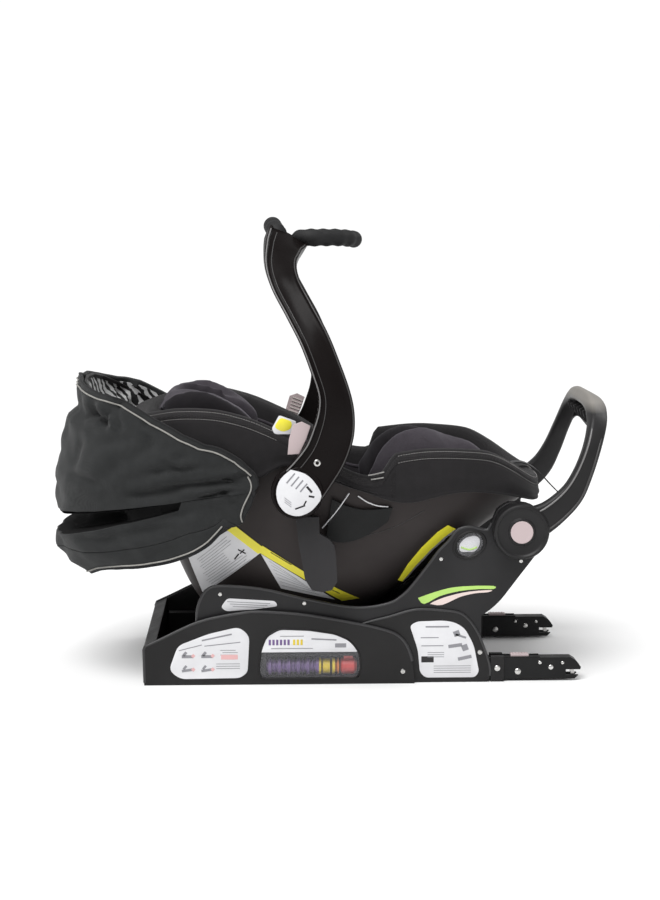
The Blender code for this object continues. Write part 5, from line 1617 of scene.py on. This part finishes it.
def build_head_support():
    """The horseshoe head support, stuffed; its top band and inward faces take the lighter plush and its outward sides
    the darker copy, painted light and painted shade on one cloth.
    """
    half = [(-106, 82), (-110, 98), (-150, 108), (-200, 107), (-240, 93), (-256, 60), (-262, 0)]
    inner = [(-226, 0), (-222, 30), (-206, 52), (-170, 62), (-150, 66), (-112, 72)]
    near, back = spline(half, 5), spline(inner, 5)
    outline = [(x, -y) for x, y in near] + [(x, y) for x, y in reversed(near[:-1])]
    outline += [(x, y) for x, y in reversed(back)] + [(x, -y) for x, y in back[1:]]
    rows = []
    for level, shrink in ((0.0, 10.0), (0.1, 4.0), (0.3, 0.5), (0.55, 0.0), (0.78, 2.0), (0.92, 7.0), (1.0, 14.0)):
        row = []
        for x, y in outline:
            high = interpolate(HEAD_DOME, x) - 5.0
            low = max(high - 42, 400 - 0.8 * (x + 258)) if x < -215 else high - 46 + 8 * smooth_step(-215, -110, x)
            low = min(low, high - 8)
            middle = math.copysign(min(abs(y), 82.0), y)
            away = Vector((-240 - x if x < -215 else 0, middle - y))
            if away.length > 0:
                away = away.normalized() * min(shrink, away.length * 0.7)
            row.append((x + away.x, y + away.y, low + (high - low) * level))
        rows.append(row)
    pad = loft("head_support_shown", rows, "violet_dark", "carrier", 80.0)
    stuff(pad, 5.0, 3.0, 4.0, 6.0, 30)
    # The lighter plush goes on the top band and the inward faces, the darker copy on the outward faces: painted light
    # on top, painted shade on the sides.
    pad.data.materials.append(FINISH["violet"])
    for face in pad.data.polygons:
        x, y, z = face.center / MM
        outward_share = face.normal.y * math.copysign(1.0, y) if abs(y) > 40 else -face.normal.x
        if z > interpolate(HEAD_DOME, x) - (46.0 if outward_share < 0.25 else 9.0):
            face.material_index = 1
    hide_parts("head_support")


BOLSTER_TOP = [(48, 306), (58, 322), (75, 349), (96, 364), (118, 371), (132, 371), (152, 365), (176, 356), (200, 349),
               (214, 340), (236, 318)]


def build_bolsters():
    """The insert's stuffed side bolsters, which rise above the roll of the cover."""
    for name, side in SIDES:
        rows = []
        for k in range(33):
            t = k / 32
            x = 49 + 186 * t
            rim = rim_point(rim_angle(x, side))
            ends = smooth_step(0.0, 0.12, t) * (1 - smooth_step(0.86, 1.0, t))
            high = interpolate(BOLSTER_TOP, x) - (2 if side < 0 else 24)
            low = min(rim.z - 34, high - 12)
            half = 9 + 15 * ends
            mid_y = side * (abs(rim.y) - 20 - half)
            rows.append([(x, mid_y + half * c, (high + low) / 2 + (high - low) / 2 * s) for c, s in oval(24, 2.3)])
        # The near bolster takes the lighter plush and the far one the darker copy: painted shade on the far bolster.
        pad = loft("insert_bolster_" + name, rows, "violet" if side < 0 else "violet_dark", "carrier", 80.0)
        for v in pad.data.vertices:
            fold = 3.0 * math.sin(0.075 * v.co.x / MM + 0.03 * v.co.z / MM)
            v.co = (wrinkled(v.co / MM, (0, side * -0.5, 0.8), 4.0, 26.0, 3.0) + Vector((0, side * fold, 0))) * MM
        stuff(pad, 4.5, 3.0, 4.0)


def build_harness():
    """Shoulder straps with padded sleeves, the crotch strap with its pad, and the adjuster's pull strap."""
    for name, side in SIDES:
        start_at, chest, waist = back_point(118, 6), back_point(190, 16), back_point(262, 21)
        path = [(p.x, side * y, p.z) for p, y in ((start_at, 38), (chest, 36), (waist, 34))]
        path.append((16, side * 24, 160))
        strap = ribbon("shoulder_strap_shown_" + name, spline(path, 10), 28)
        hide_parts("shoulder_strap_" + name)
        line = [Vector(p) for p in spline(path, 10)][2:13]
        rows = []
        for i, p in enumerate(line):
            lift = heading(line, i).cross(Vector((0, 1, 0))).normalized()
            lift = lift if lift.z > 0 else -lift
            t = i / (len(line) - 1)
            size = 0.75 + 0.25 * math.sin(math.pi * t) ** 0.4
            rows.append([p + Vector((0, 20 * c * size, 0)) + lift * (5.5 * s * size + 0.5) for c, s in oval(20, 3.0)])
        sleeve = loft("shoulder_pad_" + name, rows, "violet", "carrier", 70.0)
        stitches("shoulder_pad_stitches_" + name, [[row[0] for row in rows], [row[10] for row in rows]], 4.5, 0.45)
    crotch = ribbon("crotch_strap_shown", spline([(38, 0, 161), (40, 0, 150), (42, 0, 138), (44, 0, 130)], 6), 30)
    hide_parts("crotch_strap")
    rows = []
    for k in range(11):
        z = 133 + 26 * k / 10
        size = 0.8 + 0.2 * math.sin(math.pi * k / 10) ** 0.5
        x = 43.5 - 5 * k / 10
        rows.append([(x + 5.5 * c * size, 24 * s * size, z) for c, s in oval(24, 3.0)])
    pad = loft("crotch_pad", rows, "violet", "carrier", 70.0)
    path = [(251, 0, 274), (268, 0, 297), (288, 0, 301), (306, 0, 293), (320, 0, 281), (333, 0, 267), (346, 0, 254)]
    tail = ribbon("adjuster_strap_shown", spline(path, 8), 22)
    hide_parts("adjuster_strap")


build_cover()
build_insert()
build_head_support()
build_bolsters()
build_harness()


# ---------------------------------------------------------------- stage and camera

def build_stage():
    """A pale floor, three soft lights and a white surround."""
    size = 60.0
    mesh = bpy.data.meshes.new("floor")
    mesh.from_pydata([(-size, -size, 0), (size, -size, 0), (size, size, 0), (-size, size, 0)], [], [(0, 1, 2, 3)])
    floor = bpy.data.objects.new("floor", mesh)
    bpy.context.scene.collection.objects.link(floor)
    made, tree, shader, place = start("floor_white", 0.9, Specular_IOR_Level=0.1)
    shade = mix(tree, noise_at(tree, place, 2.0, 3.0), (0.87, 0.87, 0.87), (0.91, 0.91, 0.91))
    paint(tree, shader, shade)
    mesh.materials.append(made)

    world = bpy.data.worlds.new("surround")
    world.use_nodes = True
    tree = world.node_tree
    back = tree.nodes["Background"]
    seen = node(tree, "ShaderNodeLightPath").outputs["Is Camera Ray"]
    tree.links.new(ramp(tree, seen, 0.0, 1.0, 0.42, 1.05), back.inputs["Strength"])
    back.inputs["Color"].default_value = (1, 1, 1, 1)
    bpy.context.scene.world = world
    for name, kind, place, size, power in (
            ("sun", "SUN", (-0.9, -1.3, 3.0), 0.7, 2.8),
            ("key", "AREA", (-1.7, -2.4, 2.2), 1.6, 16.0),
            ("rim", "AREA", (2.2, 1.0, 2.2), 1.6, 16.0)):
        lamp = bpy.data.lights.new(name, kind)
        lamp.energy = power
        if kind == "AREA":
            lamp.shape = "DISK"
            lamp.size = size
        else:
            lamp.angle = size
        item = bpy.data.objects.new(name, lamp)
        bpy.context.scene.collection.objects.link(item)
        item.location = place
        item.rotation_euler = (Vector((0, 0, 0.25)) - Vector(place)).to_track_quat("-Z", "Y").to_euler()


def build_camera():
    """The camera: a long lens a little above the seat, almost square to its near side."""
    lens = bpy.data.cameras.new("camera")
    lens.lens = 78.12
    lens.sensor_width = 36.0
    item = bpy.data.objects.new("camera", lens)
    bpy.context.scene.collection.objects.link(item)
    item.location = (-0.0962, -2.9116, 0.6930)
    item.rotation_euler = (Vector((0, 0, 0.3201)) - item.location).to_track_quat("-Z", "Y").to_euler()
    bpy.context.scene.camera = item


build_stage()
build_camera()
bpy.context.scene.view_settings.view_transform = "Standard"
